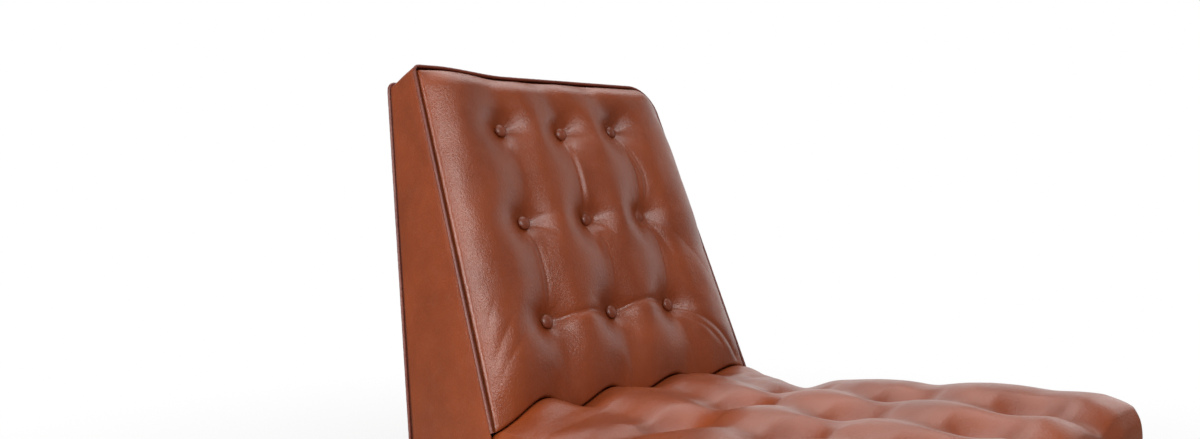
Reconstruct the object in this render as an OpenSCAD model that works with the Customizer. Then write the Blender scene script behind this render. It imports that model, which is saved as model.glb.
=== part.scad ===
// Tufted slipper chair: a low armless chair with a wedge-shaped back, in millimetres.
// The front is -Y, +Z is up, the floor is Z = 0, and the chair is alike on both sides of X = 0.
// Inside each module Y = 0 is the crevice between the back and the seat.

/* [Overall] */
// Width over the leather of the seat
chair_w = 580; // [520:5:640]
// Height of the legs with their glides
leg_h = 150; // [110:5:190]
// Height of the leather band round the seat frame
base_h = 112; // [100:2:130]
// Height of the crevice over the top of the band
crevice_rise = 78; // [66:1:90]

/* [Seat] */
// Depth from the crevice to the front edge
seat_d = 650; // [610:5:690]
// Height of the seat's pillows over the crevice, next to the back
crown_rear = 27; // [18:1:36]
// Height of the seat's pillows over the crevice, at the front
crown_front = 74; // [50:1:80]
// How far the seat falls from its pillows to its edges
seat_edge_drop = 26; // [16:1:34]
// Depth of the seat's tufts below the pillows
seat_tuft_depth = 34; // [20:1:40]
// Distance from the crevice to the first row of tufts
seat_row_first = 200; // [180:1:210]
// Distance from the front edge to the last row of tufts
seat_row_last = 106; // [96:1:120]

/* [Back] */
// Length of the back's face, from the crevice up to its top edge
back_slant = 543; // [500:1:580]
// Angle of the face from upright
back_lean = 22.5; // [18:0.5:26]
// Angle of the rear side from upright
rear_lean = 9.25; // [7:0.25:11]
// Thickness of the back at its top edge
top_t = 63; // [56:1:80]
// How much narrower each side is at the top
back_taper = 29; // [10:1:34]
// Height of the back's pillows over its welt
back_crown = 22; // [14:1:28]
// Distance up the face from the crevice to the lowest row of buttons
back_row_first = 141; // [125:1:150]
// Distance between the rows of buttons on the back
back_row_pitch = 154; // [140:1:160]

/* [Upholstery] */
// Distance between the columns of tufts, on the seat and on the back
tuft_pitch = 137; // [120:1:145]
// Reach of a tuft's dimple
tuft_reach = 40; // [34:1:46]
// Thickness of the leather
leather_t = 1.6; // [1.2:0.1:2]
// Diameter of the welts
welt_d = 5; // [4:0.5:6]
// How far a welt stands out past the leather beside it
welt_proud = 1; // [0.5:0.1:1.5]
// Diameter of the covered buttons
button_d = 22; // [18:1:24]
// Radius of the back's top corners
corner_r = 20; // [14:1:22]

/* [Frame] */
// Thickness of the seat rails
rail_t = 22; // [18:1:26]
// Thickness of the plywood sides of the back
ply_t = 18; // [15:1:22]
// Side length of the corner blocks
block_w = 95; // [90:1:105]
// Thickness of the corner blocks
block_h = 30; // [24:1:36]
// Diameter of a leg where it meets the seat
leg_top_d = 48; // [40:1:54]
// Diameter of a leg at its foot
leg_foot_d = 26; // [22:1:32]
// Distance from the leather to a leg's centre line
leg_inset = 60; // [56:1:64]
// Diameter of the seat spring wire
wire_d = 3.8; // [3:0.1:4.5]
// Width of a seat spring
spring_w = 60; // [54:1:66]

/* [Hidden] */
$fn = 48;

// Sides of the chair as signs: the left is the sitter's left
left = 1;
right = -1;
front = -1;
rear = 1;

// Colours of leather, wood, metal and cloth
leather_colour = "#8a3f22";
welt_colour = "#6e2e18";
walnut_colour = "#5a3a25";
beech_colour = "#d8b98a";
steel_colour = "#9a9da0";
foam_colour = "#efe7c6";
cloth_colour = "#3a3836";
jute_colour = "#b9a27a";

// Clearance between soft pieces, and overrun of every cut
gap = 0.3;
over = 1;

// Heights, and the side outline of the back
base_top = leg_h + base_h;
crevice_h = base_top + crevice_rise;
half_w = chair_w / 2;
top_front_y = back_slant * sin(back_lean);
top_rear_y = top_front_y + top_t * cos(back_lean);
top_rear_z = crevice_h + back_slant * cos(back_lean) - top_t * sin(back_lean);
rear_y = top_rear_y - (top_rear_z - base_top) * tan(rear_lean);
// The deepest cut that any piece of the back needs
back_depth = rear_y + top_rear_y;

// Welts lie on the edge of the leather, a little proud of it
welt_r = welt_d / 2;
welt_inset = welt_r - welt_proud;
cover_inset = welt_d - welt_proud + gap;
rear_reach = top_rear_y + (welt_r + gap) * cos(rear_lean) - welt_inset * sin(rear_lean) + welt_r;
front_reach = seat_d + welt_proud;
origin_y = (front_reach - rear_reach) / 2;

// Tufts: three columns on the seat and on the back, and three rows on each
tuft_columns = [-tuft_pitch, 0, tuft_pitch];
seat_rows = [for (i = [2:-1:0]) -seat_row_first - i * (seat_d - seat_row_first - seat_row_last) / 2];
back_rows = [for (i = [0:2]) back_row_first + i * back_row_pitch];
channel_reach = tuft_reach * 0.45;
channel_share = 0.4;
row_channel_share = 0.22;
// Where the mesh of a pillow has its lines, as shares of the space between two tufts
line_shares = [0, 0.15, 0.38, 0.62, 0.85];

// Seat pad
crevice_gap = 2.5;
seat_corner_r = 10;
seat_roll = 14;
seat_belly_share = 0.55;

// Back pad
back_roll = 6;
back_foam_t = 28;

// Seat springs and deck
cloth_t = 1.2;
spring_rail_y = 10;
spring_loops = 16;
wire_sides = 16;
clip_w = 16;
clip_d = 14;
clip_t = 1.5;
clip_h = clip_t * 2 + wire_d + gap * 2;
spring_z = base_top - clip_t - gap - wire_d / 2;
spring_columns = [-tuft_pitch * 1.5, -tuft_pitch / 2, tuft_pitch / 2, tuft_pitch * 1.5];

// Back frame
top_rail_h = 70;
top_rail_t = 26;
tuck_rail_low = 22;
tuck_rail_h = 52;
tuck_rail_t = 24;
web_w = 50;
web_t = 1.2;
web_tuck = 12;
board_t = 3;

// Tie cords, with a flat washer behind the webbing or under the deck
cord_d = 2.5;
cord_hole_d = cord_d + 4 * gap;
foam_hole_d = 20;
washer_d = 22;
washer_t = 1.6;

// Covered buttons: a domed shell on a shallow cone
button_r = button_d / 2;
button_dome = button_d * 0.27;
button_cone = button_d * 0.29;
button_stem_r = button_d * 0.09;
button_lift = 5 * gap;

// Fasteners
dowel_d = 8;
dowel_l = 36;
dowel_fit = 0.1;
screw_d = 4.5;
screw_l = 38;
screw_head_d = 9;
screw_head_h = 3;
bolt_d = 8;
bolt_in_leg = 40;
bolt_over_block = 4;
tee_barrel_d = 10;
tee_flange_d = 22;
tee_flange_t = 1.5;
glide_d = 22;
glide_h = 5;
glide_edge = 1;
leg_edge = 2;

// Everything is drawn from the crevice and then moved so that the chair stands over the origin
module on_floor() {
    translate([0, origin_y, 0]) children();
}

// Frame of the back's face: X across, Z up the face, and Y from the welt into the back
module in_face() {
    translate([0, 0, crevice_h]) rotate([-back_lean, 0, 0]) children();
}

// Frame of the rear side: Z = 0 at its top edge, and Y outwards from the leather
module in_rear() {
    translate([0, top_rear_y, top_rear_z]) rotate([-rear_lean, 0, 0]) children();
}

// Half the width of the back at a height on its face
function back_half(h, inset) = half_w - inset - back_taper * max(0, h) / back_slant;

// Points of a quarter turn with its centre, its radius and its first angle
function quarter(cx, cy, r, from, steps = 6) =
    [for (i = [0:steps]) [cx + r * cos(from + i * 90 / steps), cy + r * sin(from + i * 90 / steps)]];

// Outline of the back in its face frame, drawn in by an inset
function back_outline(inset, bend = corner_r) =
    let (
        r = bend - min(inset, bend * 0.9),
        top = back_slant - inset,
        w = back_half(top - r, inset)
    )
    concat(
        [[-half_w + inset, -back_depth], [half_w - inset, -back_depth], [half_w - inset, 0]],
        quarter(w - r, top - r, r, 0),
        quarter(r - w, top - r, r, 90),
        [[-half_w + inset, 0]]
    );

// Solid of the back between two depths from its face, over the base, cut off before the rear side
module back_wedge(inset, from, rear_inset) {
    difference() {
        in_face() rotate([90, 0, 0]) translate([0, 0, -back_depth])
            linear_extrude(back_depth - from) children();
        in_rear() translate([-chair_w, -rear_inset, -back_depth * 3])
            cube([chair_w * 2, back_depth, back_depth * 5]);
        translate([-chair_w, -back_depth, base_top - back_depth * 2])
            cube([chair_w * 2, back_depth * 3, back_depth * 2]);
        // Under the crevice the back's side pieces end at an upright line
        translate([-chair_w, -back_depth, base_top - over])
            cube([chair_w * 2, back_depth, crevice_rise + over]);
    }
}

// Space between the plywood sides, as an outline in the face frame
module between_sides(inset) {
    polygon([
        [-half_w + inset, -back_depth], [half_w - inset, -back_depth], [half_w - inset, 0],
        [back_half(back_slant * 1.2, inset), back_slant * 1.2],
        [-back_half(back_slant * 1.2, inset), back_slant * 1.2], [-half_w + inset, 0]
    ]);
}

// Round bar along X with its middle at the origin
module bar_x(d, l) {
    rotate([0, 90, 0]) cylinder(d = d, h = l, center = true);
}

// Path with its corners rounded: each corner between straight runs becomes an arc of the bend's radius
function heading(path, i) = atan2(path[i + 1][1] - path[i][1], path[i + 1][0] - path[i][0]);
function turn(path, i) =
    let (t = heading(path, i) - heading(path, i - 1)) t > 180 ? t - 360 : t < -180 ? t + 360 : t;
function bent(path, bend, steps = 5) = [
    path[0],
    for (i = [1:len(path) - 2])
        let (
            t = turn(path, i),
            a = heading(path, i - 1),
            start = path[i] - bend * abs(tan(t / 2)) * [cos(a), sin(a)],
            centre = start + sign(t) * bend * [-sin(a), cos(a)]
        )
        for (k = [0:steps]) centre + sign(t) * bend * [sin(a + t * k / steps), -cos(a + t * k / steps)],
    path[len(path) - 1]
];

// Piping: a round tube swept along a flat path, with a flat end at each end
piping_sides = 12;
module piping(path, bend, d) {
    way = bent(path, bend);
    n = len(way);
    function side_way(i) =
        let (
            a = heading(way, max(0, i - 1)),
            b = heading(way, min(n - 2, i)),
            half = (i == 0 || i == n - 1) ? 0 : turn(way, i) / 2
        )
        [-sin(a + half), cos(a + half)] / cos(half);
    points = [for (i = [0:n - 1]) for (k = [0:piping_sides - 1])
        let (s = side_way(i) * cos(k * 360 / piping_sides) * d / 2)
        [way[i][0] + s[0], way[i][1] + s[1], sin(k * 360 / piping_sides) * d / 2]];
    sides = [for (i = [0:n - 2]) for (k = [0:piping_sides - 1])
        let (a = i * piping_sides + k, b = i * piping_sides + (k + 1) % piping_sides)
        each [[a, b + piping_sides, b], [a, a + piping_sides, b + piping_sides]]];
    ends = [for (k = [1:piping_sides - 2]) let (last = (n - 1) * piping_sides)
        each [[0, k, k + 1], [last, last + k + 1, last + k]]];
    polyhedron(points = points, faces = concat(sides, ends));
}

// How strongly the tufts and their channels pull a pillow in at a place, from 0 to 1
function near(d, reach) = exp(-pow(d / reach, 2));
function pulled(x, y, rows) =
    max(max([for (c = tuft_columns) for (r = rows) near(norm([x - c, y - r]), tuft_reach)]),
        max([for (c = tuft_columns) channel_share * near(x - c, channel_reach)]),
        max([for (r = rows) row_channel_share * near(y - r, channel_reach)]));

// Fades from 1 in the middle of a pad to 0 at its edge
function fade(a) = sqrt(max(0, 1 - pow(abs(a), 5)));

// Mesh lines between the marks of a list, with the last mark at the end
function lines(marks) =
    concat([for (i = [0:len(marks) - 2]) for (s = line_shares) marks[i] + s * (marks[i + 1] - marks[i])],
        [marks[len(marks) - 1]]);

// Numbers of the points round a grid of n by m, anticlockwise from its first corner
function rim(n, m) = concat(
    [for (i = [0:n - 2]) i], [for (j = [0:m - 2]) j * n + n - 1],
    [for (i = [n - 1:-1:1]) (m - 1) * n + i], [for (j = [m - 1:-1:1]) j * n]);

// Where a point of such a grid lies on its outline
function on_side(i, n) = i % n == 0 || i % n == n - 1;
function on_low(i, n) = i < n;
function on_high(i, n, m) = i >= (m - 1) * n;

// Faces of a skin: its grid, then its rings in turn, each triangle wound clockwise from outside
function skin_faces(n, m, rings) =
    let (edge = rim(n, m), p = len(edge))
    concat(
        [for (j = [0:m - 2]) for (i = [0:n - 2]) let (a = j * n + i)
            each [[a, a + n, a + n + 1], [a, a + n + 1, a + 1]]],
        [for (k = [0:rings - 1]) for (i = [0:p - 1])
            let (
                j = (i + 1) % p,
                a = k == 0 ? edge[i] : n * m + (k - 1) * p + i,
                b = k == 0 ? edge[j] : n * m + (k - 1) * p + j,
                c = n * m + k * p + i,
                d = n * m + k * p + j
            )
            each [[a, b, d], [a, d, c]]]);

// The same faces turned inside out, for points that come later in the list
function shifted(faces, by) = [for (f = faces) [f[0] + by, f[2] + by, f[1] + by]];

// Closed sheet between two skins that have the same grid and rings
module sheet(outer, inner, n, m, rings) {
    count = len(outer);
    p = len(rim(n, m));
    last = count - p;
    polyhedron(
        points = concat(outer, inner),
        faces = concat(
            skin_faces(n, m, rings),
            shifted(skin_faces(n, m, rings), count),
            [for (i = [0:p - 1]) let (a = last + i, b = last + (i + 1) % p)
                each [[a, b, count + b], [a, count + b, count + a]]]));
}

// Closed block under one skin, with a flat bottom
module block(outer, middle, n, m, rings) {
    count = len(outer);
    p = len(rim(n, m));
    last = count - p;
    polyhedron(
        points = concat(outer, [middle]),
        faces = concat(
            skin_faces(n, m, rings),
            [for (i = [0:p - 1]) [last + i, last + (i + 1) % p, count]]));
}

// Extra inset of a corner point, so that a square ring follows a rounded corner
function ease(r, inset) = max(0, r - inset) * (1 - sqrt(0.5));

// Skin of the seat pad, drawn in all over by an offset: its top, its belly and its lower edge
seat_front = -seat_d;
seat_back = -crevice_gap;
function seat_xs(o) = lines([-half_w + seat_roll + o, -tuft_pitch, 0, tuft_pitch, half_w - seat_roll - o]);
function seat_ys(o) = lines([seat_front + seat_roll + o, seat_rows[0], seat_rows[1], seat_rows[2],
    seat_back - seat_roll - o]);
function seat_top(x, y) =
    let (
        middle = (seat_front + seat_back) / 2,
        reach = (seat_back - seat_front) / 2,
        crest = crevice_h + crown_rear + (crown_front - crown_rear) * y / seat_front,
        edge = fade(x / half_w) * fade((y - middle) / reach)
    )
    crest - seat_edge_drop * (1 - edge) - seat_tuft_depth * pulled(x, y, seat_rows);
// Counts of the mesh lines across the seat pad, and from its front to its back
seat_edge_n = len(seat_xs(0));
seat_edge_m = len(seat_ys(0));
function seat_ring(top, inset, share, low) = [
    for (i = rim(seat_edge_n, seat_edge_m))
        let (
            p = top[i],
            side = on_side(i, seat_edge_n),
            front_end = on_low(i, seat_edge_n),
            back_end = on_high(i, seat_edge_n, seat_edge_m),
            more = side && (front_end || back_end) ? ease(seat_corner_r, inset) : 0
        )
        [
            side ? sign(p[0]) * (half_w - inset - more) : p[0],
            front_end ? seat_front + inset + more : back_end ? seat_back - inset - more : p[1],
            low + share * (p[2] - low)
        ]
];
function seat_skin(o) =
    let (top = [for (y = seat_ys(o)) for (x = seat_xs(o)) [x, y, seat_top(x, y) - o]])
    concat(top, seat_ring(top, o, seat_belly_share, base_top),
        seat_ring(top, cover_inset + o, 0, base_top + cloth_t));

// Skin of the back pad, lying flat: X across, Y up the face and Z out of it
back_low = 0;
back_high = back_slant - cover_inset;
function back_xs(o) = lines([-half_w + cover_inset + back_roll + o, -tuft_pitch, 0, tuft_pitch,
    half_w - cover_inset - back_roll - o]);
function back_ys(o) = lines([back_low + back_roll + o, back_rows[0], back_rows[1], back_rows[2],
    back_high - back_roll - o]);
function narrowed(h) = back_half(h, 0) / half_w;
function back_puff(x, y) =
    let (edge = fade(x / half_w) * fade(2 * (y - back_low) / (back_high - back_low) - 1))
    (back_roll + back_crown * edge) * (1 - pulled(x, y, back_rows));
// Counts of the mesh lines across the back pad, and up it
back_edge_n = len(back_xs(0));
back_edge_m = len(back_ys(0));
function back_face(o) =
    [for (y = back_ys(o)) for (x = back_xs(o)) [x * narrowed(y), y, back_puff(x, y) - o]];
function back_edge(o, inset, z) =
    let (face = back_face(o))
    [for (i = rim(back_edge_n, back_edge_m))
        let (
            p = face[i],
            side = on_side(i, back_edge_n),
            low = on_low(i, back_edge_n),
            high = on_high(i, back_edge_n, back_edge_m),
            more = side && high ? ease(corner_r, inset) : 0,
            y = high ? back_slant - inset - more : low ? back_low : p[1]
        )
        [side ? sign(p[0]) * (back_half(y, inset) - more) : p[0], y, z]
    ];

// Legs: turned walnut, tapered to the foot, bored for their bolts
function leg_x(side) = side * (half_w - leg_inset);
function leg_y(end) = end < 0 ? -seat_d + leg_inset : rear_y - leg_inset;
module at_legs() {
    for (side = [left, right]) for (end = [front, rear]) translate([leg_x(side), leg_y(end), 0]) children();
}
module leg(side, end) {
    color(walnut_colour) on_floor() translate([leg_x(side), leg_y(end), 0]) difference() {
        union() {
            translate([0, 0, glide_h]) cylinder(d1 = leg_foot_d - 2 * leg_edge, d2 = leg_foot_d, h = leg_edge);
            translate([0, 0, glide_h + leg_edge])
                cylinder(d1 = leg_foot_d, d2 = leg_top_d, h = leg_h - glide_h - leg_edge);
        }
        translate([0, 0, leg_h - bolt_in_leg]) cylinder(d = bolt_d + 2 * dowel_fit, h = bolt_in_leg + over);
    }
}

// Nail-on glides: flat feet with a small bevel
module leg_glides() {
    color(steel_colour) on_floor() at_legs() {
        cylinder(d1 = glide_d - 2 * glide_edge, d2 = glide_d, h = glide_edge);
        translate([0, 0, glide_edge]) cylinder(d = glide_d, h = glide_h - glide_edge);
    }
}

// Hanger bolts: out of each leg and up through the nut in the corner block
module hanger_bolts() {
    color(steel_colour) on_floor() at_legs() translate([0, 0, leg_h - bolt_in_leg])
        cylinder(d = bolt_d, h = bolt_in_leg + block_h + tee_flange_t + bolt_over_block);
}

// Tee nuts: a barrel in the block with a flange on top of it
module tee_nuts() {
    color(steel_colour) on_floor() at_legs() translate([0, 0, leg_h]) difference() {
        union() {
            translate([0, 0, block_h / 2]) cylinder(d = tee_barrel_d, h = block_h / 2);
            translate([0, 0, block_h]) cylinder(d = tee_flange_d, h = tee_flange_t);
        }
        translate([0, 0, -over]) cylinder(d = bolt_d + 2 * dowel_fit, h = block_h + tee_flange_t + 2 * over);
    }
}

// Corner blocks: triangles glued and screwed into the corners of the seat frame
rail_in_x = half_w - leather_t - rail_t;
front_in_y = -seat_d + leather_t + rail_t;
rear_in_y = rear_y - leather_t - rail_t;
screw_along = block_w * 0.8;
module in_corner(side, end) {
    translate([side * rail_in_x, end < 0 ? front_in_y : rear_in_y, leg_h])
        mirror([side > 0 ? 1 : 0, 0, 0]) mirror([0, end > 0 ? 1 : 0, 0]) children();
}
// Screw with its tip in the rail and its head towards the middle of the chair
module block_screw(fit) {
    shank = screw_l - screw_head_h;
    translate([-shank / 2, 0, 0]) rotate([0, 90, 0]) cylinder(d = screw_d + fit, h = shank);
    translate([shank / 2, 0, 0]) rotate([0, 90, 0])
        cylinder(d1 = screw_d + fit, d2 = screw_head_d + fit, h = screw_head_h);
}
module block_screws(fit) {
    translate([0, screw_along, block_h / 2]) block_screw(fit);
    translate([screw_along, 0, block_h / 2]) rotate([0, 0, 90]) block_screw(fit);
}
module screw_room() {
    translate([0, screw_along, block_h / 2]) translate([screw_l / 2, 0, 0])
        rotate([0, 90, 0]) cylinder(d = screw_head_d * 1.2, h = block_w);
    translate([screw_along, 0, block_h / 2]) translate([0, screw_l / 2, 0])
        rotate([-90, 0, 0]) cylinder(d = screw_head_d * 1.2, h = block_w);
}
module corner_block(side, end) {
    color(beech_colour) on_floor() difference() {
        in_corner(side, end) difference() {
            linear_extrude(block_h) polygon([[0, 0], [block_w, 0], [0, block_w]]);
            block_screws(2 * dowel_fit);
            screw_room();
        }
        translate([leg_x(side), leg_y(end), leg_h - over])
            cylinder(d = tee_barrel_d + 2 * dowel_fit, h = block_h + 2 * over);
    }
}
module all_block_screws(fit) {
    for (side = [left, right]) for (end = [front, rear]) in_corner(side, end) block_screws(fit);
}
module corner_block_screws() {
    color(steel_colour) on_floor() all_block_screws(0);
}

// Seat rails: a box frame of beech, dowelled at its corners, with a rail for the springs
rail_h = base_h;
dowel_low = rail_h * 0.45;
dowel_high = rail_h * 0.75;
cross_rails = [front_in_y - rail_t / 2, rear_in_y + rail_t / 2, spring_rail_y + rail_t / 2];
module all_rail_dowels(fit) {
    for (side = [left, right]) for (y = cross_rails) for (h = [dowel_low, dowel_high])
        translate([side * rail_in_x, y, leg_h + h]) bar_x(dowel_d + fit, dowel_l + fit);
}
module rail_dowels() {
    color(beech_colour) on_floor() all_rail_dowels(0);
}
module side_rail(side) {
    color(beech_colour) on_floor() difference() {
        translate([side > 0 ? rail_in_x : -rail_in_x - rail_t, -seat_d + leather_t, leg_h])
            cube([rail_t, seat_d + rear_y - 2 * leather_t, rail_h]);
        all_rail_dowels(2 * dowel_fit);
        all_block_screws(2 * dowel_fit);
        all_back_dowels(2 * dowel_fit);
    }
}
module cross_rail(y) {
    color(beech_colour) on_floor() difference() {
        translate([-rail_in_x, y, leg_h]) cube([2 * rail_in_x, rail_t, rail_h]);
        all_rail_dowels(2 * dowel_fit);
        all_block_screws(2 * dowel_fit);
    }
}
module front_rail() {
    cross_rail(front_in_y - rail_t);
}
module rear_rail() {
    cross_rail(rear_in_y);
}
module spring_rail() {
    cross_rail(spring_rail_y);
}

// Seat springs: zigzag wire from the front rail to the spring rail, its end runs held in clips
spring_from = front_in_y + clip_d / 2;
spring_pitch = (spring_rail_y - clip_d / 2 - spring_from) / spring_loops;
spring_run = spring_w - spring_pitch;
module spring() {
    $fn = wire_sides;
    for (i = [0:spring_loops]) translate([0, spring_from + i * spring_pitch, 0]) bar_x(wire_d, spring_run);
    for (i = [0:spring_loops - 1])
        translate([(i % 2 == 0 ? 1 : -1) * spring_run / 2, spring_from + (i + 0.5) * spring_pitch, 0])
            rotate([0, 0, i % 2 == 0 ? -90 : 90])
            rotate_extrude(angle = 180) translate([spring_pitch / 2, 0]) circle(d = wire_d);
}
module seat_springs() {
    color(steel_colour) on_floor() for (x = spring_columns) translate([x, 0, spring_z]) spring();
}
module spring_clips() {
    clip_ys = [spring_from, spring_rail_y - clip_d / 2];
    color(steel_colour) on_floor() for (x = spring_columns) for (y = clip_ys)
        difference() {
            translate([x - clip_w / 2, y - clip_d / 2, base_top - clip_h]) cube([clip_w, clip_d, clip_h]);
            translate([x, y, spring_z]) bar_x(wire_d + 2 * gap, clip_w + 2 * over);
        }
}

// Deck cloth: stretched over the springs and stapled to the rails, with eyes for the tie cords
module deck_cloth() {
    from = front_in_y - rail_t / 2;
    wide = rail_in_x + rail_t / 2;
    narrow = half_w - leather_t - max(rail_t, ply_t) - gap;
    color(cloth_colour) on_floor() translate([0, 0, base_top]) difference() {
        union() {
            translate([-wide, from, 0]) cube([2 * wide, -gap - from, cloth_t]);
            translate([-narrow, from, 0]) cube([2 * narrow, spring_rail_y + rail_t - from, cloth_t]);
        }
        for (x = tuft_columns) for (y = seat_rows)
            translate([x, y, -over]) cylinder(d = cord_hole_d, h = cloth_t + 2 * over);
    }
}

// Dust cover: thin cloth under the frame, cut out round the legs
module dust_cover() {
    color(cloth_colour) on_floor() difference() {
        translate([-rail_in_x - rail_t / 2, front_in_y - rail_t / 2, leg_h - cloth_t])
            cube([2 * rail_in_x + rail_t, rear_in_y - front_in_y + rail_t, cloth_t]);
        at_legs() translate([0, 0, leg_h - cloth_t - over])
            cylinder(d = leg_top_d + 2 * gap, h = cloth_t + 2 * over);
    }
}

// Sides of the back: plywood wedges that stand on the side rails
frame_inset = leather_t;
frame_corner_r = 48;
rail_inset = leather_t + ply_t;
back_dowel_ys = [rear_y * 0.28, rear_y * 0.72];
module all_back_dowels(fit) {
    for (side = [left, right]) for (y = back_dowel_ys)
        translate([side * (half_w - leather_t - ply_t / 2), y, base_top - dowel_l / 2 - fit / 2])
            cylinder(d = dowel_d + fit, h = dowel_l + fit);
}
module back_dowels() {
    color(beech_colour) on_floor() all_back_dowels(0);
}
module back_frame_solid() {
    back_wedge(frame_inset, back_foam_t, leather_t + board_t) children();
}
// The wood's top corners are cut rounder than the leather's, and padding fills them out
module frame_outline() {
    polygon(back_outline(frame_inset, frame_corner_r));
}
module back_panel(side) {
    color(beech_colour) on_floor() difference() {
        back_frame_solid() intersection() {
            difference() {
                frame_outline();
                between_sides(rail_inset);
            }
            translate([side > 0 ? 0 : -chair_w, -back_depth]) square([chair_w, back_depth + back_slant]);
        }
        all_back_dowels(2 * dowel_fit);
        all_back_screws(2 * dowel_fit, screw_sink + over);
    }
}

// Cross rails of the back: one along the top and one that the covers are tucked under
rail_top_h = back_slant - leather_t - top_rail_h;
module cross_bar(low, h, t) {
    in_face() translate([0, back_foam_t, 0]) rotate([90, 0, 0]) translate([0, 0, -t]) linear_extrude(t)
        intersection() {
            between_sides(rail_inset);
            frame_outline();
            translate([-chair_w, low]) square([chair_w * 2, h]);
        }
}
// Screws through the plywood into the rails' ends
back_screw_places = [
    [tuck_rail_low + tuck_rail_h / 2, back_foam_t + tuck_rail_t / 2],
    [rail_top_h + top_rail_h * 0.16, back_foam_t + top_rail_t / 2],
    [rail_top_h + top_rail_h * 0.44, back_foam_t + top_rail_t / 2]
];
screw_sink = 1;
module back_screw(fit) {
    shank = screw_l - screw_head_h;
    cylinder(d = screw_d + fit, h = shank);
    translate([0, 0, shank]) cylinder(d1 = screw_d + fit, d2 = screw_head_d + fit, h = screw_head_h);
}
module all_back_screws(fit, room = 0) {
    in_face() for (side = [left, right]) for (p = back_screw_places)
        translate([side * (back_half(p[0], frame_inset) - screw_sink - screw_l), p[1], p[0]])
            rotate([0, side * 90, 0]) {
                back_screw(fit);
                if (room > 0)
                    translate([0, 0, screw_l - over / 2]) cylinder(d = screw_head_d + fit, h = room);
            }
}
module back_screws() {
    color(steel_colour) on_floor() all_back_screws(0);
}
module top_rail() {
    color(beech_colour) on_floor() difference() {
        cross_bar(rail_top_h, top_rail_h, top_rail_t);
        all_back_screws(2 * dowel_fit);
    }
}
module tuck_rail() {
    color(beech_colour) on_floor() difference() {
        cross_bar(tuck_rail_low, tuck_rail_h, tuck_rail_t);
        all_back_screws(2 * dowel_fit);
    }
}

// Webbing: strips up the back from rail to rail, and strips across them, with eyes for the cords
module back_webbing() {
    color(jute_colour) on_floor() in_face() difference() {
        union() {
            for (x = tuft_columns) translate([x - web_w / 2, back_foam_t - web_t, tuck_rail_low + web_tuck])
                cube([web_w, web_t, rail_top_h + top_rail_h - tuck_rail_low - 2 * web_tuck]);
            for (h = back_rows) let (w = back_half(h, frame_inset + ply_t / 2))
                translate([-w, back_foam_t - 2 * web_t, h - web_w / 2]) cube([2 * w, web_t, web_w]);
        }
        for (x = tuft_columns) for (h = back_rows) translate([x * narrowed(h), 0, h])
            rotate([-90, 0, 0]) cylinder(d = cord_hole_d, h = back_foam_t + over);
    }
}

// Board behind the outside back, and the leather over it
module outside_back_board() {
    color(jute_colour) on_floor() intersection() {
        back_wedge(frame_inset, back_foam_t, leather_t) frame_outline();
        in_rear() translate([-chair_w, -leather_t - board_t, -back_depth * 3])
            cube([chair_w * 2, board_t + over, back_depth * 4]);
    }
}
module outside_back_cover() {
    color(leather_colour) on_floor() intersection() {
        back_wedge(leather_t, back_foam_t, 0) polygon(back_outline(leather_t));
        in_rear() translate([-chair_w, -leather_t, -back_depth * 3])
            cube([chair_w * 2, leather_t + over, back_depth * 4]);
    }
}

// Boxing: leather down both sides of the back and over its top, sewn near the corners
boxing_seam_x = half_w - back_taper - corner_r * 2.4;
module boxing() {
    back_wedge(0, 0, 0) intersection() {
        difference() {
            polygon(back_outline(0));
            polygon(back_outline(leather_t));
        }
        children();
    }
}
module side_boxing(side) {
    color(leather_colour) on_floor() boxing()
        translate([side > 0 ? boxing_seam_x : -boxing_seam_x - chair_w, -back_depth + over])
            square([chair_w, back_depth + back_slant]);
}
module top_boxing() {
    color(leather_colour) on_floor() boxing()
        translate([-boxing_seam_x, back_slant / 2]) square([2 * boxing_seam_x, back_slant]);
}

// Seat pad: foam cut for deep tufts, and the leather pulled down into them
module seat_foam() {
    color(foam_colour) on_floor() difference() {
        block(seat_skin(leather_t + gap), [0, (seat_front + seat_back) / 2, base_top + cloth_t],
            seat_edge_n, seat_edge_m, 2);
        for (x = tuft_columns) for (y = seat_rows)
            translate([x, y, base_top]) cylinder(d = foam_hole_d, h = base_h + crown_front);
    }
}
module seat_cover() {
    color(leather_colour) on_floor() sheet(seat_skin(0), seat_skin(leather_t), seat_edge_n, seat_edge_m, 2);
}

// Back pad: foam on the webbing, and the leather pulled down by its buttons
module back_foam() {
    o = leather_t + gap;
    color(foam_colour) on_floor() in_face() rotate([90, 0, 0]) difference() {
        block(
            concat(back_face(o), back_edge(o, cover_inset + o, -gap),
                back_edge(o, leather_t + gap, -back_foam_t + 2 * web_t + gap)),
            [0, (back_low + back_high) / 2, -back_foam_t + 2 * web_t + gap],
            back_edge_n, back_edge_m, 2);
        for (x = tuft_columns) for (h = back_rows) translate([x * narrowed(h), h, -back_foam_t])
            cylinder(d = foam_hole_d, h = back_foam_t * 2);
    }
}
module back_cover() {
    color(leather_colour) on_floor() in_face() rotate([90, 0, 0]) sheet(
        concat(back_face(0), back_edge(0, cover_inset, leather_t)),
        concat(back_face(leather_t), back_edge(leather_t, cover_inset, 0)),
        back_edge_n, back_edge_m, 1);
}

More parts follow.
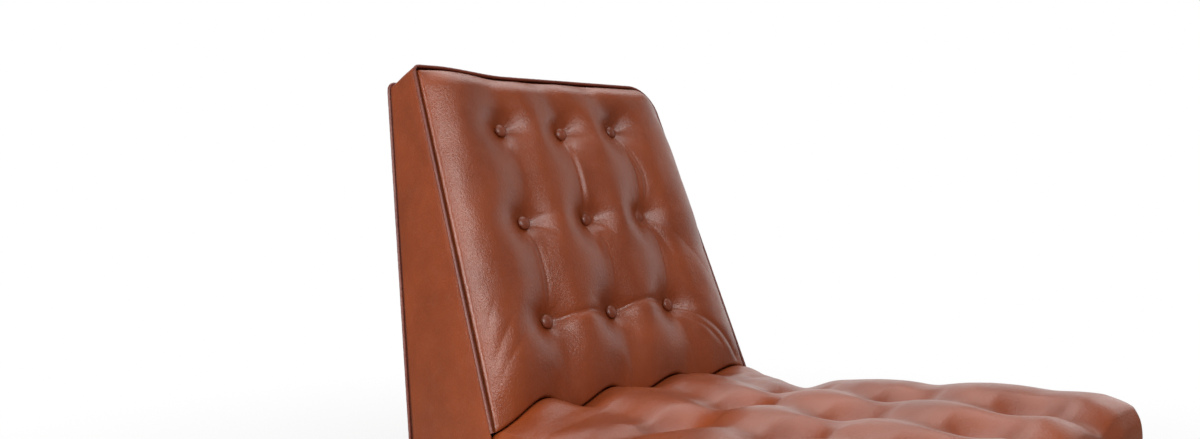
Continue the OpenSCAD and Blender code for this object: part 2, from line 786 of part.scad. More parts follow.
// Covered buttons, drawn with their face up
module button() {
    cylinder(r1 = button_stem_r, r2 = button_r, h = button_cone);
    ball = (pow(button_r, 2) + pow(button_dome, 2)) / (2 * button_dome);
    translate([0, 0, button_cone]) intersection() {
        translate([0, 0, button_dome - ball]) sphere(r = ball);
        cylinder(r = button_d, h = button_d);
    }
}
module seat_buttons() {
    color(welt_colour) on_floor() for (x = tuft_columns) for (y = seat_rows)
        translate([x, y, seat_top(x, y) + button_lift]) button();
}
module back_buttons() {
    color(welt_colour) on_floor() in_face() for (x = tuft_columns) for (h = back_rows)
        translate([x * narrowed(h), -back_puff(x, h) - button_lift, h]) rotate([90, 0, 0]) button();
}

// Tie cords: from under each button to a washer behind what carries the foam
module tie(l) {
    cylinder(d = cord_d, h = l);
    cylinder(d = washer_d, h = washer_t);
}
module seat_tie_cords() {
    color(jute_colour) on_floor() for (x = tuft_columns) for (y = seat_rows)
        translate([x, y, base_top - washer_t]) tie(seat_top(x, y) - leather_t - gap - base_top + washer_t);
}
module back_tie_cords() {
    color(jute_colour) on_floor() in_face() for (x = tuft_columns) for (h = back_rows)
        translate([x * narrowed(h), back_foam_t + washer_t, h]) rotate([90, 0, 0])
            tie(back_foam_t + washer_t + back_puff(x, h) - leather_t - gap);
}

// Welts: round the face of the back, round its rear side and round the foot of the seat pad
module front_welt() {
    w = back_half(back_slant, welt_inset);
    color(welt_colour) on_floor() in_face() translate([0, -welt_r - gap, 0]) rotate([90, 0, 0])
        piping([
            [-half_w + welt_inset, welt_r], [-w, back_slant - welt_inset],
            [w, back_slant - welt_inset], [half_w - welt_inset, welt_r]
        ], corner_r - welt_inset, welt_d);
}
module rear_welt() {
    run = (top_rear_z - base_top) / cos(rear_lean) - welt_r;
    foot_h = rear_y * sin(back_lean) - crevice_rise * cos(back_lean);
    w = back_half(back_slant, welt_inset);
    foot_w = back_half(foot_h, welt_inset);
    color(welt_colour) on_floor() in_rear() translate([0, welt_r + gap, 0]) rotate([90, 0, 0])
        piping([[-foot_w, -run], [-w, -welt_inset], [w, -welt_inset], [foot_w, -run]],
            corner_r - welt_inset, welt_d);
}
module seat_welt() {
    x = half_w - welt_inset;
    y = seat_d - welt_inset;
    color(welt_colour) on_floor() translate([0, 0, base_top + welt_r + gap])
        piping([[-x, seat_back], [-x, -y], [x, -y], [x, seat_back]], seat_corner_r - welt_inset, welt_d);
}

// Band: leather stretched flat over the seat rails all round, with soft upright edges
band_edge_r = 3.5;
module base_band() {
    depth = seat_d + rear_y;
    color(leather_colour) on_floor() translate([0, 0, leg_h]) difference() {
        union() {
            translate([-half_w + band_edge_r, -seat_d, 0]) cube([chair_w - 2 * band_edge_r, depth, base_h]);
            translate([-half_w, -seat_d + band_edge_r, 0]) cube([chair_w, depth - 2 * band_edge_r, base_h]);
            for (x = [band_edge_r - half_w, half_w - band_edge_r])
                for (y = [band_edge_r - seat_d, rear_y - band_edge_r])
                    translate([x, y, 0]) cylinder(r = band_edge_r, h = base_h);
        }
        translate([-half_w + leather_t, -seat_d + leather_t, -over])
            cube([chair_w - 2 * leather_t, depth - 2 * leather_t, base_h + 2 * over]);
    }
}

leg(left, front);  // leg_front_left
leg(right, front);  // leg_front_right
leg(left, rear);  // leg_rear_left
leg(right, rear);  // leg_rear_right
leg_glides();
hanger_bolts();
tee_nuts();
corner_block(left, front);  // corner_block_front_left
corner_block(right, front);  // corner_block_front_right
corner_block(left, rear);  // corner_block_rear_left
corner_block(right, rear);  // corner_block_rear_right
corner_block_screws();
side_rail(left);  // side_rail_left
side_rail(right);  // side_rail_right
front_rail();
rear_rail();
spring_rail();
rail_dowels();
seat_springs();
spring_clips();
deck_cloth();
dust_cover();
back_panel(left);  // back_panel_left
back_panel(right);  // back_panel_right
back_dowels();
top_rail();
tuck_rail();
back_screws();
back_webbing();
outside_back_board();
seat_foam();
seat_cover();
seat_buttons();
seat_tie_cords();
back_foam();
back_cover();
back_buttons();
back_tie_cords();
side_boxing(left);  // side_boxing_left
side_boxing(right);  // side_boxing_right
top_boxing();
outside_back_cover();
front_welt();
rear_welt();
seat_welt();
base_band();
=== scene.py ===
import math

import bpy
import numpy as np
from mathutils import Matrix, Vector


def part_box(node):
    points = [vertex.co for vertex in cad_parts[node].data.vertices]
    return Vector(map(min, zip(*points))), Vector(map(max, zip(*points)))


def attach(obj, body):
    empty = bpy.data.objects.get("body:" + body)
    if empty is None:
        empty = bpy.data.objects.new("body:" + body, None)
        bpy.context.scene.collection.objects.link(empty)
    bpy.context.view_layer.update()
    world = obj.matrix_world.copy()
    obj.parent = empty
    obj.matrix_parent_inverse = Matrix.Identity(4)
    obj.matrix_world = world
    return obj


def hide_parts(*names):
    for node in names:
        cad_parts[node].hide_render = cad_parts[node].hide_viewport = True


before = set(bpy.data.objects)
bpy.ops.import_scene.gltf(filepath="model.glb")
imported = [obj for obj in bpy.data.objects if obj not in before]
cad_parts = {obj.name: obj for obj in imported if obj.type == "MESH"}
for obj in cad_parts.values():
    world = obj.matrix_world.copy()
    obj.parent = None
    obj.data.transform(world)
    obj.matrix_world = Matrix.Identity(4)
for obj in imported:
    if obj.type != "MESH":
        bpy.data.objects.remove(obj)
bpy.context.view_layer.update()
bpy.ops.object.select_all(action="DESELECT")
scene = bpy.context.scene


# Seat frame and back frame: planed beech rails and blocks, birch plywood wedges and a hardboard panel,
# glued, dowelled and screwed. All of it is hidden under the leather.
def put(tree, kind, values=None, **settings):
    """Adds a shader node with its settings and its sockets' values."""
    made = tree.nodes.new("ShaderNode" + kind)
    for name, value in settings.items():
        setattr(made, name, value)
    for name, value in (values or {}).items():
        made.inputs[name].default_value = value
    return made


def wire(tree, *links):
    """Links outputs of nodes to inputs of others."""
    for source, output, target, socket in links:
        tree.links.new(source.outputs[output], target.inputs[socket])


def new_material(name, values):
    """Makes a material, and returns it with its tree and shader."""
    made = bpy.data.materials.new(name)
    made.use_nodes = True
    tree = made.node_tree
    tree.nodes.clear()
    shader = put(tree, "BsdfPrincipled", values)
    wire(tree, (shader, "BSDF", put(tree, "OutputMaterial"), "Surface"))
    return made, tree, shader


def two_tone(tree, low, dark, high, pale):
    """A ramp from a dark colour to a pale one between two values."""
    ramp = put(tree, "ValToRGB")
    for stop, place, colour in zip(ramp.color_ramp.elements, (low, high), (dark, pale)):
        stop.position = place
        stop.color = (*colour, 1)
    return ramp


def wood(name, dark, pale, streak, rough, along=(1, 0.06, 1)):
    """Wood with long streaks of grain along one axis."""
    made, tree, shader = new_material(name, {"Roughness": rough})
    where = put(tree, "TexCoord")
    turn = put(tree, "Mapping", {"Scale": along})
    grain = put(tree, "TexNoise", {"Scale": streak, "Detail": 6, "Distortion": 1.2})
    fine = put(tree, "TexNoise", {"Scale": streak * 14, "Detail": 3})
    ramp = two_tone(tree, 0.32, dark, 0.7, pale)
    bump = put(tree, "Bump", {"Strength": 0.25, "Distance": 0.0004})
    wire(tree, (where, "Object", turn, "Vector"), (turn, "Vector", grain, "Vector"),
         (turn, "Vector", fine, "Vector"), (grain, "Fac", ramp, "Fac"),
         (ramp, "Color", shader, "Base Color"), (fine, "Fac", bump, "Height"),
         (bump, "Normal", shader, "Normal"))
    return made


def dress(material, *nodes):
    """Gives carried-over pieces a material."""
    for name in nodes:
        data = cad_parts[name].data
        data.materials.clear()
        data.materials.append(material)


corners = [f"{end}_{side}" for end in ("front", "rear") for side in ("left", "right")]
dress(wood("planed_beech", dark=(0.46, 0.27, 0.13), pale=(0.66, 0.44, 0.25), streak=26, rough=0.55),
      *["corner_block_" + corner for corner in corners], "side_rail_left", "side_rail_right",
      "front_rail", "rear_rail", "spring_rail", "rail_dowels", "back_dowels", "top_rail", "tuck_rail")
dress(wood("birch_plywood", dark=(0.52, 0.36, 0.20), pale=(0.72, 0.54, 0.34), streak=14, rough=0.6),
      "back_panel_left", "back_panel_right")
dress(wood("brown_hardboard", dark=(0.22, 0.13, 0.07), pale=(0.33, 0.21, 0.12), streak=90, rough=0.8),
      "outside_back_board")


# Steel fittings: zinc-plated bolts, nuts, screws, clips and glides, and dark oil-tempered springs.
# They are bought in and screwed or nailed to the wood.
def steel(name, colour, rough):
    """Steel with faint scratches in its plating."""
    made, tree, shader = new_material(name, {"Metallic": 1})
    where = put(tree, "TexCoord")
    scratch = put(tree, "TexNoise", {"Scale": 900, "Detail": 4})
    polish = put(tree, "MapRange", {"To Min": rough * 0.7, "To Max": rough * 1.3})
    tone = put(tree, "Mix", {"A": (*colour, 1), "B": (*[c * 0.7 for c in colour], 1)}, data_type="RGBA")
    wire(tree, (where, "Object", scratch, "Vector"), (scratch, "Fac", polish, "Value"),
         (scratch, "Fac", tone, "Factor"), (tone, "Result", shader, "Base Color"),
         (polish, "Result", shader, "Roughness"))
    return made


dress(steel("zinc_plated_steel", (0.62, 0.63, 0.64), 0.35),
      "leg_glides", "hanger_bolts", "tee_nuts", "corner_block_screws", "back_screws")
dress(steel("oil_tempered_steel", (0.16, 0.16, 0.17), 0.45), "seat_springs", "spring_clips")


# Webbing and twine: jute strips tacked up and across the back, and waxed twine that ties the buttons down.
# Both are plain weaves to the eye.
def woven(name, colour, thread, rough):
    """Plain weave whose threads are a given distance apart."""
    made, tree, shader = new_material(name, {"Roughness": rough})
    where = put(tree, "TexCoord")
    waves = [put(tree, "TexWave", {"Scale": 0.16 / thread, "Distortion": 0.6, "Detail": 1},
                 bands_direction=axis) for axis in "XYZ"]
    first = put(tree, "Math", operation="MULTIPLY")
    both = put(tree, "Math", operation="MULTIPLY")
    tone = put(tree, "Mix", {"A": (*[c * 0.45 for c in colour], 1), "B": (*colour, 1)}, data_type="RGBA")
    bump = put(tree, "Bump", {"Strength": 0.5, "Distance": 0.0004})
    wire(tree, *[(where, "Object", wave, "Vector") for wave in waves],
         (waves[0], "Fac", first, 0), (waves[1], "Fac", first, 1), (first, 0, both, 0),
         (waves[2], "Fac", both, 1), (both, 0, tone, "Factor"), (tone, "Result", shader, "Base Color"),
         (both, 0, bump, "Height"), (bump, "Normal", shader, "Normal"))
    return made


dress(woven("jute_webbing", (0.48, 0.36, 0.2), 0.003, 0.9), "back_webbing")
dress(woven("waxed_twine", (0.62, 0.52, 0.36), 0.0008, 0.7), "seat_tie_cords", "back_tie_cords")

# Legs: turned from solid walnut, tapered to the foot and oiled.
# One is screwed up into each corner block by its hanger bolt.
legs = ["leg_" + corner for corner in corners]
dress(wood("oiled_walnut", dark=(0.075, 0.032, 0.014), pale=(0.21, 0.098, 0.044), streak=30, rough=0.42,
           along=(1, 1, 0.07)), *legs)

# Cloths: black cambric, stretched taut over the springs and under the frame, and stapled to the rails.
# Holes are cut in it for the legs and for the cords of the seat's buttons.
cambric = woven("black_cambric", (0.035, 0.033, 0.032), 0.0012, 0.95)
cloth_thickness = 0.0007
deck_sag = 0.0005
dust_sag = 0.0025
clearance = 0.0003
cord_hole = 0.00185
wedge_gap_half = 0.2661
notch_half = 0.05
cutter_height = 0.04
seat_depth = 0.650
tuft_pitch = 0.137
columns = (-1, 0, 1)
seat_rows = (-0.544, -0.372, -0.200)
band_low, band_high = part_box("base_band")
crevice_y = band_low.y + seat_depth


def choose(*pieces):
    """Selects these pieces alone, the first one active."""
    bpy.ops.object.select_all(action="DESELECT")
    for piece in pieces:
        piece.select_set(True)
    if pieces:
        bpy.context.view_layer.objects.active = pieces[0]


def change(piece, kind, **settings):
    """Applies a modifier with its settings to the active piece."""
    modifier = piece.modifiers.new(kind.lower(), kind)
    for name, value in settings.items():
        setattr(modifier, name, value)
    bpy.ops.object.modifier_apply(modifier=modifier.name)


def hand_over(piece, material, slot, *nodes):
    """Gives a finished piece its material and body, and hides the nodes that it replaces."""
    piece.data.materials.clear()
    piece.data.materials.append(material)
    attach(piece, "root")
    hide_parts(*nodes)


def taut_cloth(name, node, sag, holes, notches):
    """A cloth over a node's rectangle, with holes (x, y, radius) and square notches (x, y, half)."""
    low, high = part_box(node)
    width, length = high[0] - low[0], high[1] - low[1]
    choose()
    bpy.ops.mesh.primitive_grid_add(x_subdivisions=56, y_subdivisions=84, size=2)
    cloth = bpy.context.object
    cloth.name = name
    for vertex in cloth.data.vertices:
        u, v = vertex.co.x, vertex.co.y
        vertex.co = ((low[0] + high[0] + u * width) / 2, (low[1] + high[1] + v * length) / 2,
                     high[2] - sag * (1 - u ** 4) * (1 - v ** 4))
    change(cloth, "SOLIDIFY", thickness=cloth_thickness, offset=-1)
    cutters = []
    for x, y, radius in holes:
        bpy.ops.mesh.primitive_cylinder_add(vertices=40, radius=radius, depth=cutter_height,
                                            location=(x, y, high[2]))
        cutters.append(bpy.context.object)
    for x, y, half in notches:
        bpy.ops.mesh.primitive_cube_add(size=2 * half, location=(x, y, high[2]))
        cutters.append(bpy.context.object)
    choose(*cutters)
    bpy.ops.object.join()
    choose(cloth)
    change(cloth, "BOOLEAN", operation="DIFFERENCE", object=cutters[0])
    bpy.data.objects.remove(cutters[0])
    cut_away = sum(math.pi * radius ** 2 for _, _, radius in holes)
    for x, y, half in notches:
        cut_away += ((min(x + half, high[0]) - max(x - half, low[0]))
                     * (min(y + half, high[1]) - max(y - half, low[1])))
    hand_over(cloth, cambric, "deck", node)


cord_holes = [(column * tuft_pitch, row + crevice_y, cord_hole) for row in seat_rows for column in columns]
wedge_notches = [(side * (wedge_gap_half + notch_half), crevice_y - clearance + notch_half, notch_half)
                 for side in (-1, 1)]
taut_cloth("deck_sheet", "deck_cloth", deck_sag, cord_holes, wedge_notches)
leg_holes = []
for leg in legs:
    leg_low, leg_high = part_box(leg)
    leg_holes.append(((leg_low[0] + leg_high[0]) / 2, (leg_low[1] + leg_high[1]) / 2,
                      (leg_high[0] - leg_low[0]) / 2 + clearance))
taut_cloth("dust_sheet", "dust_cover", dust_sag, leg_holes, [])

# Outside of the back: flat leather boxing down both sides and over the top, and a panel of it behind.
# It is stretched over the plywood, the near top corner stands up in a point and the far one is worn round.
crevice_rise = 0.078
base_height = -crevice_rise
back_slant = 0.543
top_thickness = 0.063
half_width = 0.290
side_taper = 0.029
leather = 0.0016
corner_near = 0.010
corner_far = 0.050
corner_front = 0.057
near_rise = 0.010
rise_start = 0.085
rise_run = 0.135
lean = math.radians(22.5)
lean_sin, lean_cos = math.sin(lean), math.cos(lean)
rear_lean = math.radians(9.25)
rear_slope = math.tan(rear_lean)
rear_y = (lean_sin * back_slant + top_thickness * lean_cos
          - (lean_cos * back_slant - top_thickness * lean_sin) * rear_slope)
lift_to_row = Matrix.Translation((0, crevice_y, band_high.z + crevice_rise))
# Seams of the boxing: their place, how far the leather turns in there, and how wide the shade painted beside
# them is
seam_x = 0.213
seam_reach = 0.0035
front_roll = 0.0008
rear_roll = 0.0011
seam_shadow = 0.0045
side_bulge = 0.0012
wave_height = 0.00022
phase_range = 6.28
smooth_angle = math.radians(50)


def coordinates(mesh):
    """The vertices of a mesh as an array."""
    flat = np.empty(len(mesh.vertices) * 3)
    mesh.vertices.foreach_get("co", flat)
    return flat.reshape(-1, 3)


def move_to(piece, places):
    """Puts the vertices of a piece at the places of an array."""
    piece.data.vertices.foreach_set("co", np.ascontiguousarray(places, dtype=float).ravel())
    piece.data.update()


def ease(t):
    """From 0 to 1, flat at both ends."""
    t = np.clip(t, 0, 1)
    return t * t * (3 - 2 * t)


def spread(t, crowd=0.45):
    """Crowds evenly spaced lines towards both ends of 0 to 1."""
    return t - crowd * np.sin(2 * math.pi * t) / (2 * math.pi)


def unit(vectors):
    """Vectors with their length made 1."""
    return vectors / np.maximum(np.linalg.norm(vectors, axis=1, keepdims=True), 1e-9)


def half_at(height):
    """Half the back's width at a height up its face."""
    return half_width - side_taper * np.clip(height, 0, None) / back_slant


def top_line(x):
    """Height of the back's top edge, which rises towards the near corner."""
    return back_slant + near_rise * ease((-x - rise_start) / rise_run)


def rear_depth(height):
    """Depth from the face to the rear side, at a height up the face."""
    return (rear_y + height * (rear_slope * lean_cos - lean_sin)) / (lean_cos + rear_slope * lean_sin)


def in_face(x, height, out):
    """Places from the width, the height up the face and the way out of it."""
    return np.stack([x, height * lean_sin - out * lean_cos, height * lean_cos + out * lean_sin], axis=-1)


def steps_along(path):
    """Distance along a path at each of its points."""
    return np.concatenate([[0], np.cumsum(np.linalg.norm(np.diff(path, axis=0), axis=1))])


def spaced(path, count):
    """Points at equal steps along a path."""
    path = np.array(path, float)
    along = steps_along(path)
    at = np.linspace(0, 1, count) * along[-1]
    return np.stack([np.interp(at, along, path[:, k]) for k in range(path.shape[1])], axis=1)


def arc(centre_x, centre_y, radius, start, end, steps=14):
    """Points of an arc, its angles in degrees."""
    angles = np.radians(np.linspace(start, end, steps))
    return [(centre_x + radius * math.cos(a), centre_y + radius * math.sin(a)) for a in angles]


def back_rim(inset, foot, far_corner=corner_far):
    """Outline of the back's face from its near foot over the top to its far foot."""
    near_r, far_r = corner_near - inset * 0.5, far_corner - inset
    near_top, far_top = back_slant + near_rise - inset, back_slant - inset
    near_x = -half_at(near_top) + inset + near_r
    far_x = half_at(far_top - far_r) - inset - far_r
    points = [(-half_at(h) + inset, h) for h in np.linspace(foot, near_top - near_r, 40)]
    points += arc(near_x, near_top - near_r, near_r, 180, 94)
    points += [(x, top_line(x) - inset) for x in np.linspace(near_x + 0.004, far_x, 60)]
    points += arc(far_x, far_top - far_r, far_r, 88, 2, 24)
    return points + [(half_at(h) - inset, h) for h in np.linspace(far_top - far_r, foot, 40)]


def new_grid(name, across, along):
    """Adds a flat grid of cells and returns it with the places of its vertices, from 0 to 1."""
    choose()
    bpy.ops.mesh.primitive_grid_add(x_subdivisions=across, y_subdivisions=along, size=1)
    made = bpy.context.object
    made.name = name
    places = coordinates(made.data)
    return made, places[:, 0] + 0.5, places[:, 1] + 0.5


def start_edit(piece):
    """Opens one piece in edit mode."""
    choose(piece)
    bpy.ops.object.mode_set(mode="EDIT")


def select_rim():
    """Selects the open edges of the piece in edit mode."""
    bpy.ops.mesh.select_mode(type="EDGE")
    bpy.ops.mesh.select_all(action="DESELECT")
    bpy.ops.mesh.select_non_manifold()


def face_out(piece, merge=0.0, close=False):
    """Merges the doubles of a piece, closes its open ends and points its faces outwards."""
    start_edit(piece)
    bpy.ops.mesh.select_all(action="SELECT")
    if merge:
        bpy.ops.mesh.remove_doubles(threshold=merge)
    if close:
        select_rim()
        bpy.ops.mesh.edge_face_add()
        bpy.ops.mesh.select_all(action="SELECT")
    bpy.ops.mesh.normals_make_consistent(inside=False)
    bpy.ops.object.mode_set(mode="OBJECT")


def give_thickness(piece):
    """Gives a sheet of leather its thickness, on its inner side."""
    face_out(piece)
    change(piece, "SOLIDIFY", thickness=leather, offset=-1)
    bpy.ops.object.shade_smooth_by_angle(angle=smooth_angle)
    piece.data.transform(lift_to_row)


corner_foot = back_slant - corner_far - 0.002
rear_top = in_face(0.0, corner_foot, -rear_depth(corner_foot))
side_count = 90
side_front = spaced([(0, base_height), (0, 0)] + [
    (h * lean_sin, h * lean_cos) for h in np.linspace(0.004, corner_foot, 30)], side_count)
side_rear = spaced([(rear_y + base_height * rear_slope, base_height), rear_top[1:]], side_count)
rim = np.array(back_rim(0, corner_foot))
far_foot = side_count + len(rim)
last_edge = far_foot + side_count - 1


def boxing_places(edge, share):
    """Places on the boxing, by a point number along its outline and a share from front to rear."""
    places = np.zeros(edge.shape + (3,))
    for side, inside, step in ((-1, edge < side_count, edge), (1, edge >= far_foot, last_edge - edge)):
        start, stop = side_front[step[inside]], side_rear[step[inside]]
        yz = start + (stop - start) * share[inside][:, None]
        half = half_at(yz[:, 0] * lean_sin + yz[:, 1] * lean_cos)
        bulge = side_bulge * np.sin(math.pi * share[inside])
        places[inside] = np.stack([side * (half + bulge), yz[:, 0], yz[:, 1]], axis=1)
    middle = (edge >= side_count) & (edge < far_foot)
    x, h = rim[edge[middle] - side_count].T
    share = share[middle]
    # The raised edge falls off to the rear, and the far corner is rounder at the front
    h = h - (h - np.minimum(h, back_slant)) * 0.5 * share
    into = np.arctan2(np.clip(h - (back_slant - corner_far), 0, None),
                      np.clip(x - (half_at(h) - corner_far), 0, None) + 1e-9)
    rounder = (corner_front - corner_far) * np.clip(np.cos(into) + np.sin(into) - 1, 0, None)
    rounder = rounder * (1 - ease(rear_depth(h) * share / 0.024)) * (x > half_width / 2)
    x, h = x - rounder * np.cos(into), h - rounder * np.sin(into)
    places[middle] = in_face(x, h, -rear_depth(h) * share)
    return places


def make_boxing(name, first, last):
    """One piece of the boxing, between two points of its outline."""
    piece, u, v = new_grid(name, 16, last - first)
    share = spread(u, 0.3)
    edge = np.rint(first + v * (last - first)).astype(int)
    places = boxing_places(edge, share)
    run = (boxing_places(np.minimum(edge + 1, last_edge), share)
           - boxing_places(np.maximum(edge - 1, 0), share))
    width = boxing_places(edge, share * 0 + 1) - boxing_places(edge, share * 0)
    normal = unit(np.cross(run, width))
    length = np.linalg.norm(width, axis=1)
    random = np.random.default_rng(3)
    waves = np.zeros(len(places))
    for wave in range(6):
        facing = random.uniform(-1, 1, 3)
        waves += wave_height * np.sin(places @ facing * random.uniform(40, 90)
                                      + random.uniform(0, phase_range))
    roll_in = (front_roll * np.clip(1 - share * length / seam_reach, 0, 1) ** 2
               + rear_roll * np.clip(1 - (1 - share) * length / seam_reach, 0, 1) ** 2)
    move_to(piece, places + normal * (waves * np.sin(math.pi * share) - roll_in)[:, None])
    # Painted shade: the boxing is darkened over the last millimetres before its rear seam, where the groove
    # by the rear welt lies in shadow
    shade = np.clip(1 - (1 - share) * length / seam_shadow, 0, 1)
    piece.data.attributes.new("seam_shade", "FLOAT", "POINT").data.foreach_set("value", shade)
    give_thickness(piece)
    return piece


near_seam = side_count + int(np.argmax(rim[:, 0] > -seam_x))
far_seam = side_count + int(np.argmax(rim[:, 0] > seam_x))
boxing_right = make_boxing("boxing_right", 0, near_seam)
boxing_top = make_boxing("boxing_top", near_seam, far_seam)
boxing_left = make_boxing("boxing_left", far_seam, last_edge)


def to_corner(x, y, half_x, half_y, radius, side_x, side_y):
    """Bends the square corner of a grid round a corner radius."""
    p = (x * side_x - (half_x - radius)) / radius
    q = (y * side_y - (half_y - radius)) / radius
    inside = (p > 0) & (q > 0)
    p2 = np.where(inside, p * np.sqrt(np.clip(1 - q ** 2 / 2, 0, 1)), p)
    q2 = np.where(inside, q * np.sqrt(np.clip(1 - p ** 2 / 2, 0, 1)), q)
    return side_x * (half_x - radius + p2 * radius), side_y * (half_y - radius + q2 * radius)


def face_outline(square_x, square_y, inset, near_r, far_r):
    """Fits a square grid into the outline of the back, with its corners and its raised edge."""
    x, y = to_corner(square_x, square_y, half_width - inset, back_slant - inset, near_r, -1, 1)
    x, y = to_corner(x, y, half_width - inset, back_slant - inset, far_r, 1, 1)
    upper = square_y > back_slant / 2
    x, y = np.where(upper, x, square_x), np.where(upper, y, square_y)
    x = x * half_at(y) / half_width
    return x, y + (top_line(x) - back_slant) * ease((y - back_slant * 0.6) / (back_slant * 0.4))


panel_foot = -0.0045
panel_top = back_slant - 0.002
panel_crown = 0.0022
outside_back, across, up = new_grid("outside_back", 48, 72)
across = 2 * spread(across, 0.25) - 1
panel_x, panel_h = face_outline(across * (half_width - leather), panel_foot + up * (panel_top - panel_foot),
                                leather, corner_near, corner_far - leather)
crown = panel_crown * (1 - across ** 4) * (1 - (2 * up - 1) ** 6)
move_to(outside_back, in_face(panel_x, panel_h, -rear_depth(panel_h) - crown + leather * 0.5))
give_thickness(outside_back)

# Full-grain cowhide: pebbled grain under a millimetre across, clouds of stain, and paler rubbed grain
hide_grain = bpy.data.node_groups.new("hide_grain", "ShaderNodeTree")
for label, way, value in (("Pebble", "INPUT", 1.5), ("Clouds", "INPUT", 9.0),
                          ("Height", "OUTPUT", 0.0), ("Stain", "OUTPUT", 0.0), ("Rub", "OUTPUT", 0.0)):
    socket = hide_grain.interface.new_socket(label, in_out=way, socket_type="NodeSocketFloat")
    socket.default_value = value
hide_in = hide_grain.nodes.new("NodeGroupInput")
hide_out = hide_grain.nodes.new("NodeGroupOutput")
hide_place = put(hide_grain, "TexCoord")
pebble_scale = put(hide_grain, "Math", {0: 1000}, operation="DIVIDE")
pebbles = put(hide_grain, "TexVoronoi", {"Smoothness": 0.6}, feature="SMOOTH_F1")
pores = put(hide_grain, "TexNoise", {"Scale": 2600, "Detail": 2})
folds = put(hide_grain, "TexNoise", {"Scale": 230, "Detail": 2})
clouds = put(hide_grain, "TexNoise", {"Detail": 4, "Roughness": 0.55, "Distortion": 0.4})
rubs = put(hide_grain, "TexNoise", {"Scale": 55, "Detail": 6, "Roughness": 0.65})
grain_sum = put(hide_grain, "Math", {1: 0.35}, operation="MULTIPLY_ADD")
fold_sum = put(hide_grain, "Math", {1: 1.7}, operation="MULTIPLY_ADD")
wire(hide_grain, (hide_in, "Pebble", pebble_scale, 1), (pebble_scale, 0, pebbles, "Scale"),
     *[(hide_place, "Object", pattern, "Vector") for pattern in (pebbles, pores, folds, clouds, rubs)],
     (hide_in, "Clouds", clouds, "Scale"), (pores, "Fac", grain_sum, 0),
     (pebbles, "Distance", grain_sum, 2), (folds, "Fac", fold_sum, 0), (grain_sum, 0, fold_sum, 2),
     (fold_sum, 0, hide_out, "Height"), (clouds, "Fac", hide_out, "Stain"), (rubs, "Fac", hide_out, "Rub"))


def cowhide(name, dark, warm, pale, rough, grain_depth):
    """Aniline leather, darker in its clouds, paler where it is rubbed, with shade painted in along its seams.
    """
    made, tree, shader = new_material(name, {"IOR": 1.5, "Specular IOR Level": 0.65})
    hide = put(tree, "Group", node_tree=hide_grain)
    stain = two_tone(tree, 0.30, dark, 0.68, warm)
    rubbed = put(tree, "MapRange", {"From Min": 0.5, "From Max": 0.85, "To Max": 0.35})
    tone = put(tree, "Mix", {"B": (*pale, 1)}, data_type="RGBA")
    polish = put(tree, "MapRange", {"From Min": 0.3, "From Max": 0.7,
                                    "To Min": rough * 0.88, "To Max": rough * 1.12})
    bump = put(tree, "Bump", {"Strength": 0.5, "Distance": grain_depth})
    in_seam = put(tree, "Attribute", attribute_name="seam_shade")
    # Painted shade: a near-black colour mixed in where the seam_shade attribute is set, beside the boxing's
    # rear seam
    painted_seam_shade = put(tree, "Mix", {"B": (0.02, 0.006, 0.004, 1)}, data_type="RGBA")
    wire(tree, (in_seam, "Fac", painted_seam_shade, "Factor"), (tone, "Result", painted_seam_shade, "A"),
         (hide, "Stain", stain, "Fac"), (hide, "Rub", rubbed, "Value"), (rubbed, "Result", tone, "Factor"),
         (stain, "Color", tone, "A"), (painted_seam_shade, "Result", shader, "Base Color"),
         (hide, "Rub", polish, "Value"), (polish, "Result", shader, "Roughness"),
         (hide, "Height", bump, "Height"), (bump, "Normal", shader, "Normal"))
    return made


chestnut = cowhide("chestnut_cowhide", dark=(0.205, 0.039, 0.010), warm=(0.282, 0.056, 0.013),
                   pale=(0.29, 0.075, 0.028), rough=0.32, grain_depth=0.00042)
for piece, node in ((boxing_right, "side_boxing_right"), (boxing_top, "top_boxing"),
                    (boxing_left, "side_boxing_left"), (outside_back, "outside_back_cover")):
    hand_over(piece, chestnut, "leather", node)

# Band: leather stretched flat over the seat rails all round, with soft upright edges.
# It is tacked under the rails and sewn to nothing; the seat welt lies on its top edge.
dress(chestnut, "base_band")

# Welts: leather sewn round a cord, in the seams round the face of the back, round its rear
# and under the seat pad. Each is sewn in with its seam and turns with the corners.
welt_radius = 0.0025
welt_inset = 0.0015
welt_out = welt_radius + clearance
welt_corner = 0.0045
merge_gap = 0.00002
seat_welt_count = 520
back_welt_count = 420


def piping(name, path, out, seed):
    """A cord along a path, a little uneven; out is the direction away from the seam."""
    tangent = unit(np.gradient(path, axis=0))
    out = np.tile(np.array(out, float), (len(path), 1))
    out = unit(out - tangent * np.sum(out * tangent, axis=1, keepdims=True))
    beside = np.cross(tangent, out)
    tube, u, v = new_grid(name, 14, len(path) - 1)
    i = np.rint(v * (len(path) - 1)).astype(int)
    angle = 2 * math.pi * u
    random = np.random.default_rng(seed)
    along = steps_along(path)
    uneven = np.zeros(len(path))
    for wave in range(8):
        uneven += random.uniform(0.3, 1) * np.sin(along * random.uniform(60, 700)
                                                  + random.uniform(0, phase_range))
    size = welt_radius * (1 + 0.018 * uneven)[i]
    move_to(tube, path[i] + out[i] * (size * np.cos(angle))[:, None]
            + beside[i] * (size * np.sin(angle))[:, None])
    face_out(tube, merge_gap, close=True)
    bpy.ops.object.shade_smooth_by_angle(angle=math.radians(60))
    tube.data.transform(lift_to_row)
    return tube


